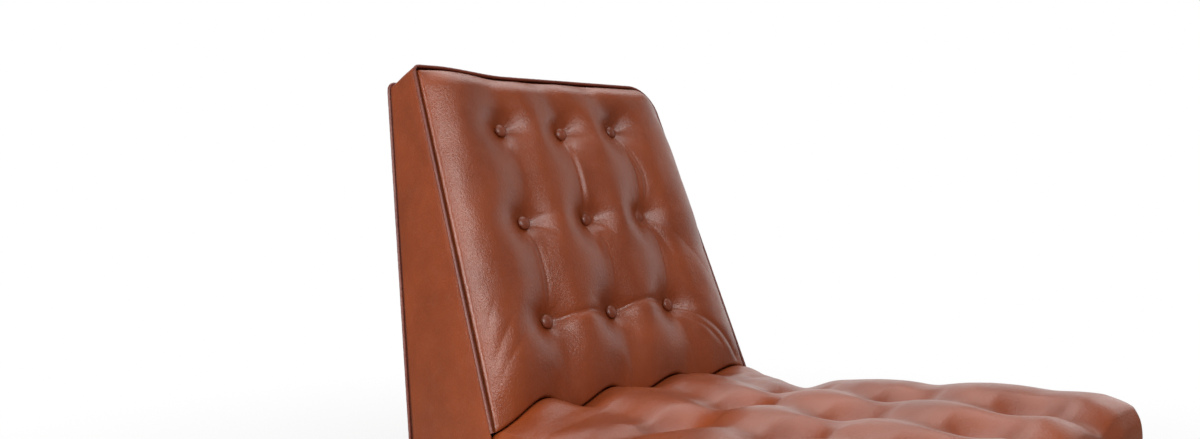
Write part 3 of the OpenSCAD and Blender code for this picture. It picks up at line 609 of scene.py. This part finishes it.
front_line = spaced(back_rim(welt_inset, 0.0025, corner_front), back_welt_count)
front_welt = piping("front_welt_cord", in_face(front_line[:, 0], front_line[:, 1], welt_out),
                    (0, -lean_cos, lean_sin), seed=2)
rear_line = spaced(back_rim(0.0004, -0.002), back_welt_count)
rear_way = np.array([0, math.cos(rear_lean), -math.sin(rear_lean)])
rear_welt = piping("rear_welt_cord", in_face(rear_line[:, 0], rear_line[:, 1], -rear_depth(rear_line[:, 1]))
                   + rear_way * welt_out, rear_way, seed=5)
welt_x, welt_front = half_width - welt_inset, -(seat_depth - welt_inset)
seat_line = spaced([(-welt_x, -welt_radius)]
                   + arc(-welt_x + welt_corner, welt_front + welt_corner, welt_corner, 180, 270)
                   + arc(welt_x - welt_corner, welt_front + welt_corner, welt_corner, 270, 360)
                   + [(welt_x, -welt_radius)], seat_welt_count)
seat_welt = piping("seat_welt_cord", np.column_stack([
    seat_line, np.full(seat_welt_count, base_height + welt_out)]), (0, 0, 1), seed=8)
welt_hide = cowhide("welt_cowhide", dark=(0.130, 0.022, 0.011), warm=(0.190, 0.036, 0.014),
                    pale=(0.26, 0.07, 0.04), rough=0.40, grain_depth=0.00008)
for piece, node in ((front_welt, "front_welt"), (rear_welt, "rear_welt"), (seat_welt, "seat_welt")):
    hand_over(piece, welt_hide, "welt_leather", node)

# Back pad: aniline cowhide over foam, tied down by nine buttons and sewn to the welt round its face.
# The leather creases between the buttons, and its foot rolls under in four arches over the seat.
pad_inset = 0.0058
pad_crown = 0.0215
pad_cells = (150, 140)
pad_depth = 0.025
first_step = 0.0015
edge_sunk = 0.004
side_roll = 0.006
near_roll = 0.0045
far_swell = 0.006
face_place = lift_to_row @ Matrix((
    (1, 0, 0, 0),
    (0, lean_sin, -lean_cos, 0),
    (0, lean_cos, lean_sin, 0),
    (0, 0, 0, 1),
))
# Rows of buttons by their height on the face, and how far the twine pulls each button aside
BACK_ROWS = {
    0.449: ((0, 0), (0.002, -0.004), (-0.003, 0.002)),
    0.295: ((-0.001, 0.002), (0.004, 0.001), (-0.001, 0)),
    0.141: ((-0.005, 0.001), (0, 0.001), (0.002, -0.001)),
}
back_tufts = [(column * tuft_pitch * half_at(row) / half_width + dx, row + dy)
              for row, aside in BACK_ROWS.items() for column, (dx, dy) in zip(columns, aside)]
BACK_TIE = dict(button=0.0095, slope=0.016, blunt=0.003, hollow=0.0105, reach=0.069, aside=0.006,
                depth=0.0258)
BACK_FURROW = dict(widths=(0.070, 0.056), sharp=0.16, blunt=0.006)
# Long soft channels through the buttons, in millimetres on the face, each with its depth and its reach
BACK_CHANNELS = [
    ([(-116, 552), (-126, 500), (-127, 449)], 5, 20),
    ([(-127, 449), (-121, 400), (-121, 350), (-129, 295)], 9, 24),
    ([(-129, 295), (-129, 240), (-131, 190), (-134, 141)], 10, 20),
    ([(-134, 141), (-137, 90), (-140, 50), (-145, 0)], 9, 20),
    ([(-36, 545), (-22, 500), (-2, 449)], 6, 18),
    ([(-2, 449), (8, 400), (9, 350), (0, 295)], 8.5, 22),
    ([(0, 295), (9, 240), (9, 190), (0, 141)], 8.5, 20),
    ([(0, 141), (1, 90), (-4, 50), (-10, 0)], 9, 20),
    ([(76, 545), (98, 500), (125, 449)], 6, 18),
    ([(125, 449), (133, 400), (134, 350), (129, 295)], 9.5, 20),
    ([(129, 295), (141, 245), (142, 190), (134, 141)], 10, 18),
    ([(134, 141), (141, 90), (143, 45), (144, 0)], 9, 20),
]
# Pleats and wrinkles: path, depth, reach, height of the ridge beside it, and how it fades at both ends
BACK_CREASES = [
    ([(126, 440), (138, 405), (148, 370), (147, 340), (138, 312)], 1.8, 3.2, 2.0, 0.2, 0.3),
    ([(122, 440), (128, 400), (133, 365), (128, 330), (124, 305)], 1.6, 3.0, 1.4, 0.2, 0.2),
    ([(-127, 280), (-126, 250), (-127, 210), (-132, 160)], 2.0, 3.0, 1.6, 0.2, 0.15),
    ([(6, 280), (16, 250), (18, 215), (10, 170)], 0.8, 3.5, 0.5, 0.3, 0.3),
    ([(133, 280), (143, 245), (144, 205), (137, 155)], 1.8, 3.0, 1.0, 0.2, 0.15),
    ([(-124, 140), (-95, 145), (-60, 146), (-14, 142)], 3.6, 5.5, 1.2, 0.12, 0.12),
    ([(12, 142), (45, 150), (80, 151), (122, 143)], 3.8, 5.5, 1.2, 0.12, 0.12),
    ([(142, 136), (170, 122), (210, 92), (245, 55), (268, 18)], 3.2, 5.5, 1.8, 0.1, 0.35),
    ([(140, 130), (162, 112), (192, 88), (225, 52)], 2.0, 4.5, 1.2, 0.15, 0.4),
    ([(-116, 302), (-95, 304), (-62, 302)], 0.9, 7.0, 0.4, 0.1, 0.8),
    ([(-117, 290), (-98, 282), (-80, 270)], 1.2, 5.0, 0.6, 0.1, 0.8),
    ([(13, 298), (45, 300), (85, 297)], 0.9, 7.0, 0.4, 0.1, 0.8),
    ([(11, 288), (28, 276), (40, 262)], 1.4, 5.0, 0.8, 0.1, 0.8),
    ([(137, 284), (152, 255), (168, 215)], 2.0, 5.5, 1.2, 0.1, 0.6),
    ([(141, 288), (180, 258), (228, 205), (262, 142)], 0.9, 9.0, 0.3, 0.1, 0.6),
    ([(131, 462), (146, 474), (162, 482)], 0.7, 5.0, 0.3, 0.1, 0.8),
    ([(136, 452), (156, 458), (176, 458)], 0.7, 5.0, 0.3, 0.1, 0.8),
    ([(-205, 165), (-232, 138), (-256, 104), (-268, 78)], 0.8, 6.0, 0.5, 0.4, 0.4),
    ([(-195, 138), (-222, 112), (-250, 84), (-266, 60)], 0.7, 6.0, 0.5, 0.4, 0.4),
    ([(-235, 190), (-252, 160), (-264, 128)], 0.5, 5.5, 0.4, 0.4, 0.4),
]
crease_blunt = 0.0012
# Foot of the pad: ends of its four arches across the seat, their height there, and their peaks
ARCH_ENDS = np.array([-0.286, -0.146, -0.011, 0.143, 0.286])
ARCH_LOWS = np.array([0.002, 0.0045, 0.0055, 0.005, 0.003])
ARCH_PEAKS = np.array([0.034, 0.029, 0.026, 0.019])


def notch(distance, reach, blunt):
    """A crease's depth at a distance: 1 and sharp at the thread, soft away from it."""
    return np.exp(-(np.sqrt(distance ** 2 + blunt ** 2) - blunt) / reach)


def valley(distance, width):
    """A channel's depth at a distance: 1 and round at its bottom, flat at the pillows' crowns."""
    return (1 - ease(distance / width)) ** 1.25


def pillow(distance, reach, power):
    """Rises from 0 at a pad's edge to 1 where its crown is flat."""
    return 1 - (1 - np.clip(distance / reach, 0, 1)) ** power


def quarter(distance, radius):
    """Share of the height of a rolled edge at a distance from it."""
    return np.sqrt(1 - (1 - np.clip(distance / radius, 0, 1)) ** 2)


def rounded(path, steps=6):
    """A smooth path through given points in millimetres."""
    points = [np.array(p, float) / 1000 for p in path]
    points = [2 * points[0] - points[1]] + points + [2 * points[-1] - points[-2]]
    found = []
    for a, b, c, d in zip(points, points[1:], points[2:], points[3:]):
        for t in np.arange(steps) / steps:
            found.append(0.5 * (2 * b + (c - a) * t + (2 * a - 5 * b + 4 * c - d) * t ** 2
                                + (3 * b - a - 3 * c + d) * t ** 3))
    return found + [points[-2]]


def along_path(x, y, path):
    """Distance to a smooth path, the side that it lies on, and the share of the path up to there."""
    points = np.array(rounded(path))
    lengths = np.hypot(*np.diff(points, axis=0).T)
    best = np.full(x.shape, 1e9)
    side, share = np.ones(x.shape), np.zeros(x.shape)
    before = 0
    for (ax, ay), (bx, by), length in zip(points[:-1], points[1:], lengths):
        ux, uy = (bx - ax) / length, (by - ay) / length
        t = np.clip((x - ax) * ux + (y - ay) * uy, 0, length)
        d = np.hypot(x - ax - t * ux, y - ay - t * uy)
        nearer = d < best
        best = np.where(nearer, d, best)
        side = np.where(nearer, np.sign((x - ax) * uy - (y - ay) * ux), side)
        share = np.where(nearer, (before + t) / lengths.sum(), share)
        before += length
    return best, np.where(side == 0, 1, side), share


def faded(share, start, end):
    """Strength along a crease that rises over its start and dies away over its end."""
    rise, fall = np.clip(share / start, 0, 1), np.clip((1 - share) / end, 0, 1)
    return (rise * (2 - rise)) * (fall * (2 - fall))


def creased(x, y, creases):
    """Height that a list of creases takes from or adds to a face."""
    height = np.zeros(x.shape)
    for path, depth, reach, ridge, start, end in creases:
        distance, side, share = along_path(x, y, path)
        reach = reach / 1000
        strength = faded(share, start, end) / 1000
        height -= strength * depth * notch(distance, reach, crease_blunt)
        height += strength * 0.6 * ridge * np.exp(-((distance * side - 2.0 * reach) / (1.4 * reach)) ** 2)
    return height


def furrows(x, y, channels, widths, sharp, blunt):
    """Depth of a pad's channels: valleys of a width to each side, with a share sharp at the thread."""
    dent = np.zeros(x.shape)
    for path, depth, reach in channels:
        distance, side, _ = along_path(x, y, path)
        shape = ((1 - sharp) * valley(distance, np.where(side > 0, *widths))
                 + sharp * notch(distance, reach / 1000, blunt))
        dent = np.maximum(dent, depth / 1000 * shape)
    return dent


def tied_down(x, y, dent, tufts, button, slope, blunt, hollow, reach, aside, depth):
    """Depth with the tufts: a wide hollow round each, and full depth under its button."""
    pull = np.zeros(x.shape)
    for tuft_x, tuft_y in tufts:
        away = np.hypot(x - tuft_x, y - tuft_y)
        pull = np.maximum(pull, notch(np.clip(away - button, 0, None), slope, blunt))
        leant = reach - aside * (x - tuft_x) / np.maximum(away, 0.001)
        dent = np.maximum(dent, hollow * valley(away, leant))
    return dent + (depth - dent) * pull


def radial_wrinkles(x, y, tufts, orders, depth, reach, seed):
    """Fine wrinkles that run out from each tuft, uneven round it."""
    random = np.random.default_rng(seed)
    height = np.zeros(x.shape)
    for tuft_x, tuft_y in tufts:
        away = np.hypot(x - tuft_x, y - tuft_y)
        angle = np.arctan2(y - tuft_y, x - tuft_x)
        wave = np.zeros(x.shape)
        for order in orders:
            wave += random.uniform(0.5, 1) * np.cos(order * angle + random.uniform(0, phase_range))
        lobes = 0.55 + 0.45 * np.cos(angle * 2 + random.uniform(0, phase_range))
        height += depth * lobes * wave * np.exp(-away / reach) * (1 - np.exp(-(away / 0.009) ** 2))
    return height


def arch_height(x):
    """Height of the back pad's foot on the face: four arches between channels and sides."""
    i = np.clip(np.searchsorted(ARCH_ENDS, x) - 1, 0, 3)
    t = np.clip((x - ARCH_ENDS[i]) / (ARCH_ENDS[i + 1] - ARCH_ENDS[i]), 0, 1) ** 2.0
    floor = ARCH_LOWS[i] + (ARCH_LOWS[i + 1] - ARCH_LOWS[i]) * t
    middle = (ARCH_LOWS[i] + ARCH_LOWS[i + 1]) / 2
    return floor + (ARCH_PEAKS[i] - middle) * np.sin(math.pi * t) ** 0.7


def pad_height(x, y, side, up):
    """Height of the back pad over its welt, before the leather settles."""
    from_side = (half_width - pad_inset) - np.abs(side)
    from_top = (1 - up) * back_slant
    from_foot = up * back_slant
    swollen = ease((y - 0.22) / 0.08) * (1 - ease((y - 0.40) / 0.09))
    roll = np.where(side > 0, side_roll + far_swell * swollen, side_roll)
    sides = quarter(from_side, np.where(side > 0, roll, near_roll))
    crown = (pillow(from_side, 0.072, 2.2) * pillow(from_top, 0.038, 2.2)
             * (0.36 + 0.64 * pillow(from_foot, 0.080, 1.8)))
    lip = quarter(from_foot, 0.005)
    height = (roll + pad_crown * crown + edge_sunk) * (sides * quarter(from_top, 0.007)) - edge_sunk
    dent = tied_down(x, y, furrows(x, y, BACK_CHANNELS, **BACK_FURROW), back_tufts, **BACK_TIE)
    return height * (0.72 + 0.28 * lip) - dent * sides * quarter(from_top, 0.03) * (0.6 + 0.4 * lip)


def settle(piece, firm, tufts, tied, channels, fullness, farthest):
    """Lets leather find its shape over the foam, its firm points and tufts held and its channels a little."""
    start = coordinates(piece.data)
    x, y = start[:, 0], start[:, 1]
    from_tuft = np.min([np.hypot(x - tuft_x, y - tuft_y) for tuft_x, tuft_y in tufts], axis=0)
    from_line = np.min([along_path(x, y, path)[0] for path, _, _ in channels], axis=0)
    held = np.where((from_tuft < tied) | firm, 1.0, np.where(from_line < 0.004, 0.25, 0.1))
    group = piece.vertex_groups.new(name="held")
    for weight in (1.0, 0.25, 0.1):
        group.add(np.flatnonzero(held == weight).tolist(), weight, "REPLACE")
    leather_sheet = piece.modifiers.new("leather_sheet", "CLOTH")
    for name, value in dict(quality=6, mass=0.4, tension_stiffness=30, compression_stiffness=30,
                            shear_stiffness=10, bending_stiffness=6.0, use_pressure=True,
                            uniform_pressure_force=3.0, shrink_min=-fullness,
                            vertex_group_mass="held").items():
        setattr(leather_sheet.settings, name, value)
    leather_sheet.settings.effector_weights.gravity = 0
    leather_sheet.collision_settings.use_collision = False
    leather_sheet.collision_settings.use_self_collision = False
    for number in range(1, 21):
        scene.frame_set(number)
    moved = coordinates(piece.evaluated_get(bpy.context.evaluated_depsgraph_get()).to_mesh()) - start
    piece.modifiers.remove(leather_sheet)
    piece.vertex_groups.remove(group)
    size = np.linalg.norm(moved, axis=1, keepdims=True)
    moved *= np.minimum(1, farthest / np.maximum(size, 1e-9))
    # Each point's way is averaged with its neighbours', which takes out the mesh's own pattern
    ends = np.empty(len(piece.data.edges) * 2, dtype=int)
    piece.data.edges.foreach_get("vertices", ends)
    a, b = ends.reshape(-1, 2).T
    beside = np.bincount(ends, minlength=len(start))[:, None]
    calm = moved.copy()
    for _ in range(60):
        near = [np.bincount(a, calm[b, k], len(start)) + np.bincount(b, calm[a, k], len(start))
                for k in range(3)]
        calm = 0.5 * calm + 0.5 * np.stack(near, axis=1) / beside
        calm[held >= 1.0] = 0
    move_to(piece, start + 0.85 * calm + 0.15 * moved)
    scene.frame_set(1)


def refine(piece):
    """Halves the mesh of a piece and keeps its faces smooth."""
    choose(piece)
    change(piece, "SUBSURF", levels=1, render_levels=1)
    bpy.ops.object.shade_smooth()


back_pad, unit_x, unit_y = new_grid("back_pad", *pad_cells)
square_x = (2 * spread(unit_x) - 1) * (half_width - pad_inset)
up = spread(unit_y)
foot = arch_height(square_x)
face_x, face_y = face_outline(square_x, foot + up * (back_slant - pad_inset - foot), pad_inset,
                              corner_near - 0.002, corner_front - pad_inset)
move_to(back_pad, np.stack([face_x, face_y, pad_height(face_x, face_y, square_x, up)], axis=1))
on_edge = (np.abs(unit_x - 0.5) > 0.497) | (np.abs(unit_y - 0.5) > 0.497)
settle(back_pad, on_edge, back_tufts, 0.009, BACK_CHANNELS, fullness=0.004, farthest=0.005)
refine(back_pad)
places = coordinates(back_pad.data)
face_x, face_y = places[:, 0], places[:, 1]
inner = np.clip((half_at(face_y) - np.abs(face_x) - 0.006) / 0.012, 0, 1)
places[:, 2] += inner * creased(face_x, face_y, BACK_CREASES)
places[:, 2] += inner * radial_wrinkles(face_x, face_y, back_tufts, (5, 7, 9, 12), 0.00030, 0.020, 4)
move_to(back_pad, places)
# The pad's sides go back from the welt to the webbing, and a flat rear face closes it
face_count = len(places)
start_edit(back_pad)
select_rim()
for depth in (first_step, pad_depth - first_step):
    bpy.ops.mesh.extrude_region_move(TRANSFORM_OT_translate={"value": (0, 0, -depth)})
bpy.ops.object.mode_set(mode="OBJECT")
places = coordinates(back_pad.data)
places[-((len(places) - face_count) // 2):, 2] = -pad_depth
move_to(back_pad, places)
face_out(back_pad, close=True)
back_pad.data.transform(face_place)
hand_over(back_pad, chestnut, "leather", "back_cover", "back_foam")

# Seat pad: the same hide over a thick foam block, tied down deep by nine blind tufts.
# Its leather goes over the edges without a welt and is pleated there, down to the welt on the band.
seat_front_r = 0.030
seat_rear_r = 0.006
seat_side = 0.010
seat_rear = 0.010
seat_cells = (150, 164)
side_rings = 20
foot_level = base_height + 0.0022
seat_half = half_width - seat_side
seat_front = seat_depth - seat_side
seat_mid = (seat_rear - seat_front) / 2
seat_reach = (seat_rear + seat_depth - seat_side) / 2
seat_tufts = [(column * tuft_pitch, row) for row in seat_rows for column in columns]
SEAT_TIE = dict(button=0.0085, slope=0.028, blunt=0.005, hollow=0.034, reach=0.078, aside=0, depth=0.038)
SEAT_FURROW = dict(widths=(0.060, 0.060), sharp=0.3, blunt=0.014)
# Channels of the seat by their depth: shallow by the crevice and across, deep between the tufts
SEAT_REACH = 20
SEAT_CHANNELS = [(path, depth, SEAT_REACH) for depth, paths in (
    (3.5, ([(-146, 10), (-143, -60), (-139, -110)], [(-11, 10), (-6, -60), (-1, -110)],
           [(144, 10), (142, -60), (140, -110)], [(137, -372), (210, -378), (292, -374)],
           [(137, -544), (210, -540), (292, -546)])),
    (4.5, ([(-137, -372), (-68, -398), (0, -376)], [(0, -376), (68, -384), (137, -378)])),
    (5, ([(-137, -200), (-68, -220), (0, -203)], [(0, -203), (68, -213), (137, -200)],
         [(-292, -372), (-210, -368), (-137, -372)], [(-292, -548), (-210, -540), (-137, -544)],
         [(-137, -544), (-68, -562), (0, -544)], [(0, -544), (68, -550), (137, -548)])),
    (9, ([(-136, -105), (-137, -150), (-137, -200)], [(2, -105), (1, -150), (0, -200)],
         [(144, -105), (140, -150), (137, -200)])),
    (11, ([(-137, -200), (-134, -290), (-137, -372)], [(-137, -372), (-141, -460), (-137, -544)],
          [(0, -200), (4, -290), (0, -372)], [(0, -372), (-4, -460), (0, -544)],
          [(137, -200), (141, -290), (137, -372)], [(137, -372), (134, -460), (137, -544)])),
    (13, ([(-292, -120), (-215, -168), (-137, -200)], [(137, -200), (215, -168), (292, -120)])),
    (14, ([(-137, -544), (-140, -600), (-146, -652)], [(0, -544), (2, -600), (0, -652)],
          [(137, -544), (141, -600), (147, -652)])),
) for path in paths]
# Crest of the pillows over the crevice, in millimetres, by the distance in front of it
CREST_AT = [0, 30, 80, 124, 200, 288, 372, 458, 544, 600, 650]
CREST_MIDDLE = [37, 35, 34, 36, 41, 49, 56, 61, 69, 72, 67]
CREST_SIDE = [34, 27, 21, 23, 35, 47, 57, 67, 75, 78, 71]


def seat_height(x, y, across):
    """Height of the seat pad's top over the crevice, before the leather settles."""
    middle = np.interp(-y * 1000, CREST_AT, CREST_MIDDLE)
    beside = np.interp(-y * 1000, CREST_AT, CREST_SIDE)
    crest = (middle + (beside - middle) * ease((np.abs(x) - 0.10) / 0.11)) / 1000
    from_front = np.clip((y + seat_depth - seat_side) / 0.16, 0, 1)
    rise = np.sqrt(np.clip(1 - np.abs(across) ** 3.6, 0, 1)) * np.sqrt(1 - (1 - from_front) ** 3.6)
    dent = tied_down(x, y, furrows(x, y, SEAT_CHANNELS, **SEAT_FURROW), seat_tufts, **SEAT_TIE)
    open_seat = crest - 0.026 * (1 - rise) - dent
    # Behind the arches the leather runs on under the back, close to its face
    lip_y = arch_height(x) * lean_sin - 0.0129
    under_back = arch_height(x) / lean_cos - np.maximum(y, lip_y) * math.tan(lean) - 0.0024
    return under_back + (open_seat - under_back) * ease((lip_y - y) / 0.055)


def over_side(places, share):
    """Places of one ring of the seat's side, from the edge of its top to its foot."""
    corner = np.where(places[:, 1] > seat_mid, seat_rear_r, seat_front_r)
    core = np.stack([np.clip(places[:, 0], -(seat_half - corner), seat_half - corner),
                     np.clip(places[:, 1], -seat_front + corner, seat_rear - corner)], axis=1)
    out = unit(places[:, :2] - core)
    level = places[:, 2] + (foot_level - places[:, 2]) * share
    swell = seat_side * quarter(share, 0.28) - 0.0050 * ease((share - 0.6) / 0.4)
    # Towards its foot the front corners come out over those of the frame
    squarer = corner * (1 / np.maximum(np.abs(out).max(axis=1), 0.7) - 1)
    swell = swell + 0.75 * squarer * ease((share - 0.3) / 0.7)
    rear_swell = 0.001 * quarter(share, 0.1) - 0.017 * ease((share - 0.04) / 0.3)
    toward_rear = np.clip(out[:, 1], 0, 1) ** 2
    # Folds of the leather that come over the edge from the outer tufts
    pleats = np.zeros(len(places))
    for path, _, _ in SEAT_CHANNELS:
        for end_x, end_y in (path[0], path[-1]):
            if abs(end_x) > 290 or end_y < -650:
                away = np.hypot(places[:, 0] - end_x / 1000, places[:, 1] - end_y / 1000)
                pleats = np.maximum(pleats, np.exp(-(np.clip(away - 0.012, 0, None) / 0.012) ** 1.4))
    amount = (swell * (1 - toward_rear) + rear_swell * toward_rear
              - 0.004 * pleats * np.sin(math.pi * np.clip(share * 1.1, 0, 1)) * (1 - share))
    return np.column_stack([places[:, :2] + out * amount[:, None], level])


seat_pad, seat_u, seat_v = new_grid("seat_pad", *seat_cells)
seat_across = 2 * spread(seat_u) - 1
seat_x, seat_y = seat_across * seat_half, (2 * spread(seat_v) - 1) * seat_reach
for side_x in (-1, 1):
    for side_y, radius in ((-1, seat_front_r), (1, seat_rear_r)):
        seat_x, seat_y = to_corner(seat_x, seat_y, seat_half, seat_reach, radius, side_x, side_y)
seat_y = seat_y + seat_mid
move_to(seat_pad, np.stack([seat_x, seat_y, seat_height(seat_x, seat_y, seat_across)], axis=1))
# The leather goes over the edge in rings that swell out to the belly and come in to the welt
rim_count = 2 * (seat_cells[0] + seat_cells[1])
top_count = len(seat_pad.data.vertices)
start_edit(seat_pad)
select_rim()
for ring in range(side_rings):
    bpy.ops.mesh.extrude_region_move(TRANSFORM_OT_translate={"value": (0, 0, -0.004)})
bpy.ops.object.mode_set(mode="OBJECT")
places = coordinates(seat_pad.data)
rim_places = places[top_count:top_count + rim_count].copy()
for ring in range(side_rings):
    first = top_count + ring * rim_count
    places[first:first + rim_count] = over_side(rim_places, (ring + 1) / side_rings)
move_to(seat_pad, places)
places = coordinates(seat_pad.data)
last_ring = np.arange(len(places)) >= len(places) - rim_count
settle(seat_pad, last_ring | (places[:, 1] > -0.012), seat_tufts, 0.008, SEAT_CHANNELS,
       fullness=0.006, farthest=0.006)
refine(seat_pad)
places = coordinates(seat_pad.data)
places[:, 2] += radial_wrinkles(places[:, 0], places[:, 1], seat_tufts, (5, 8, 11), 0.0005, 0.026, 7)
move_to(seat_pad, places)
face_out(seat_pad, close=True)
seat_pad.data.transform(lift_to_row)
hand_over(seat_pad, chestnut, "leather", "seat_cover", "seat_foam")

# Covered buttons: a domed shell under leather that is gathered behind its rim.
# Each is pulled into its pad by twine that is tied to a washer behind.
BUTTON_PROFILE = [(0, -5.5), (5.0, -5.5), (9.0, -4.0), (10.4, -2.2), (10.9, -0.6), (10.7, 0.9), (10.0, 2.1),
                  (8.8, 3.0), (6.6, 3.9), (4.2, 4.5), (2.0, 4.8), (0, 4.9)]
button_tilt = 0.07
face_button_out = 0.0050
deck_button_sunk = 0.0335


def turned(name, profile):
    """A round piece from a profile of radius and height in millimetres, smooth along its profile."""
    line = spaced(np.array(profile) / 1000, 26)
    made, u, v = new_grid(name, 40, len(line) - 1)
    i = np.rint(v * (len(line) - 1)).astype(int)
    angle = 2 * math.pi * u
    move_to(made, np.column_stack([line[i, 0] * np.cos(angle), line[i, 0] * np.sin(angle), line[i, 1]]))
    face_out(made, merge_gap)
    bpy.ops.object.shade_smooth()
    return made


def sewn_buttons(name, spots, seed):
    """One button at each spot, each tilted a little its own way, as one piece."""
    random = np.random.default_rng(seed)
    made = []
    for spot in spots:
        button = turned(name, BUTTON_PROFILE)
        tilts = [Matrix.Rotation(random.uniform(-button_tilt, button_tilt), 4, axis) for axis in "XY"]
        button.data.transform(spot @ (tilts[0] @ tilts[1]))
        made.append(button)
    choose(*made)
    bpy.ops.object.join()
    return made[0]


button_hide = cowhide("button_cowhide", dark=(0.170, 0.034, 0.013), warm=(0.26, 0.056, 0.020),
                      pale=(0.32, 0.11, 0.06), rough=0.34, grain_depth=0.00008)
face_spots = [face_place @ Matrix.Translation((x, h, face_button_out)) for x, h in back_tufts]
deck_spots = [lift_to_row @ Matrix.Translation(
    (x, y, np.interp(-y * 1000, CREST_AT, CREST_MIDDLE) / 1000 - deck_button_sunk)) for x, y in seat_tufts]
hand_over(sewn_buttons("face_buttons", face_spots, 11), button_hide, "button_leather", "back_buttons")
hand_over(sewn_buttons("deck_buttons", deck_spots, 12), button_hide, "button_leather", "seat_buttons")

# Studio: a white floor and a white wall behind, and soft light from a window, a wall beside and a ceiling.
# To the camera both are white, the floor keeps the chair's shadow, and the wall also shows in the gloss.
white = (1, 1, 1, 1)
warm_grey = (0.34, 0.29, 0.25, 1)
paper_white = (0.95, 0.95, 0.95, 1)


def studio_paint(name, kind):
    """Matt paint that turns to a white glow by a share, whose node is returned with the rest."""
    made, tree, shader = new_material(name, {"Roughness": 0.9, "Specular IOR Level": 0.1,
                                             "Base Color": warm_grey})
    seen_by = put(tree, "LightPath")
    glow = put(tree, "Emission", {"Color": white, "Strength": 1.0})
    share = put(tree, "Math", operation=kind)
    paint = put(tree, "MixShader")
    out = next(node for node in tree.nodes if node.type == "OUTPUT_MATERIAL")
    wire(tree, (seen_by, "Is Camera Ray", share, 0), (share, 0, paint, "Fac"), (shader, "BSDF", paint, 1),
         (glow, "Emission", paint, 2), (paint, "Shader", out, "Surface"))
    return made, tree, shader, seen_by, share


def studio_plane(name, size, place, paint):
    """A flat piece of the studio, at its place."""
    choose()
    bpy.ops.mesh.primitive_plane_add(size=1, location=(0, 0, 0))
    plane = bpy.context.object
    plane.name = name
    plane.data.transform(place @ Matrix.Diagonal((*size, 1, 1)))
    plane.data.materials.append(paint)


# The camera sees real shading near the chair and white from about two metres out
floor_paint, tree, shader, seen_by, share = studio_paint("floor_paint", "MULTIPLY")
where = put(tree, "TexCoord")
away = put(tree, "VectorMath", operation="LENGTH")
fade = put(tree, "MapRange", {"From Min": 0.7, "From Max": 2.3, "To Min": 0.55, "To Max": 1.0},
           interpolation_type="SMOOTHSTEP")
tone = put(tree, "Mix", {"A": warm_grey, "B": paper_white}, data_type="RGBA")
wire(tree, (where, "Object", away, 0), (away, "Value", fade, "Value"), (fade, "Result", share, 1),
     (seen_by, "Is Camera Ray", tone, "Factor"), (tone, "Result", shader, "Base Color"))
wall_paint, tree, _, seen_by, share = studio_paint("wall_paint", "MAXIMUM")
wire(tree, (seen_by, "Is Glossy Ray", share, 1))
upright = Matrix.Rotation(math.radians(-45), 4, "Z") @ Matrix.Rotation(math.radians(90), 4, "X")
studio_plane("studio_wall", (7, 2.2), Matrix.Translation((2.4, 2.4, 1.1)) @ upright, wall_paint)
studio_plane("studio_floor", (40, 40), Matrix.Identity(4), floor_paint)

world = bpy.data.worlds.new("studio_white")
scene.world = world
world.use_nodes = True
sky = world.node_tree
sky.nodes.clear()
seen = put(sky, "LightPath")
bright = put(sky, "Background", {"Color": white, "Strength": 1.0})
soft = put(sky, "Background", {"Color": white, "Strength": 0.16})
choice = put(sky, "MixShader")
wire(sky, (seen, "Is Camera Ray", choice, "Fac"), (soft, "Background", choice, 1),
     (bright, "Background", choice, 2), (choice, "Shader", put(sky, "OutputWorld"), "Surface"))


def softbox(name, azimuth, elevation, size, watts, distance=3.0):
    """A soft lamp that faces the chair from a direction, in degrees."""
    a, e = math.radians(azimuth), math.radians(elevation)
    way = Vector((math.cos(a) * math.cos(e), math.sin(a) * math.cos(e), math.sin(e)))
    choose()
    bpy.ops.object.light_add(type="AREA", location=Vector((0, 0, 0.5)) + way * distance)
    lamp = bpy.context.object
    lamp.name = name
    lamp.data.shape = "RECTANGLE"
    lamp.data.size, lamp.data.size_y = size
    lamp.data.energy = watts
    lamp.rotation_euler = (-way).to_track_quat("-Z", "Y").to_euler()


softbox("left_wall", 176, 12, (1.8, 1.4), 64)
softbox("window", 241, 38, (1.8, 1.3), 43, 2.85)
softbox("ceiling", 55, 66, (3.5, 3.0), 66)
softbox("right_wall", 350, 20, (1.5, 2.0), 7)

# Camera: fitted to the photograph's welts, buttons and crevice.
# It stands in front on the sitter's right, at the height of the back, and looks three degrees down.
bpy.ops.object.camera_add(location=(-1.1903, -0.8872, 0.7112))
camera = bpy.context.object
camera.rotation_euler = (math.radians(86.757), 0, math.radians(-45.94))
camera.data.lens = 31.5
camera.data.sensor_width = 36
camera.data.clip_start = 0.05
scene.camera = camera
scene.view_settings.view_transform = "Standard"
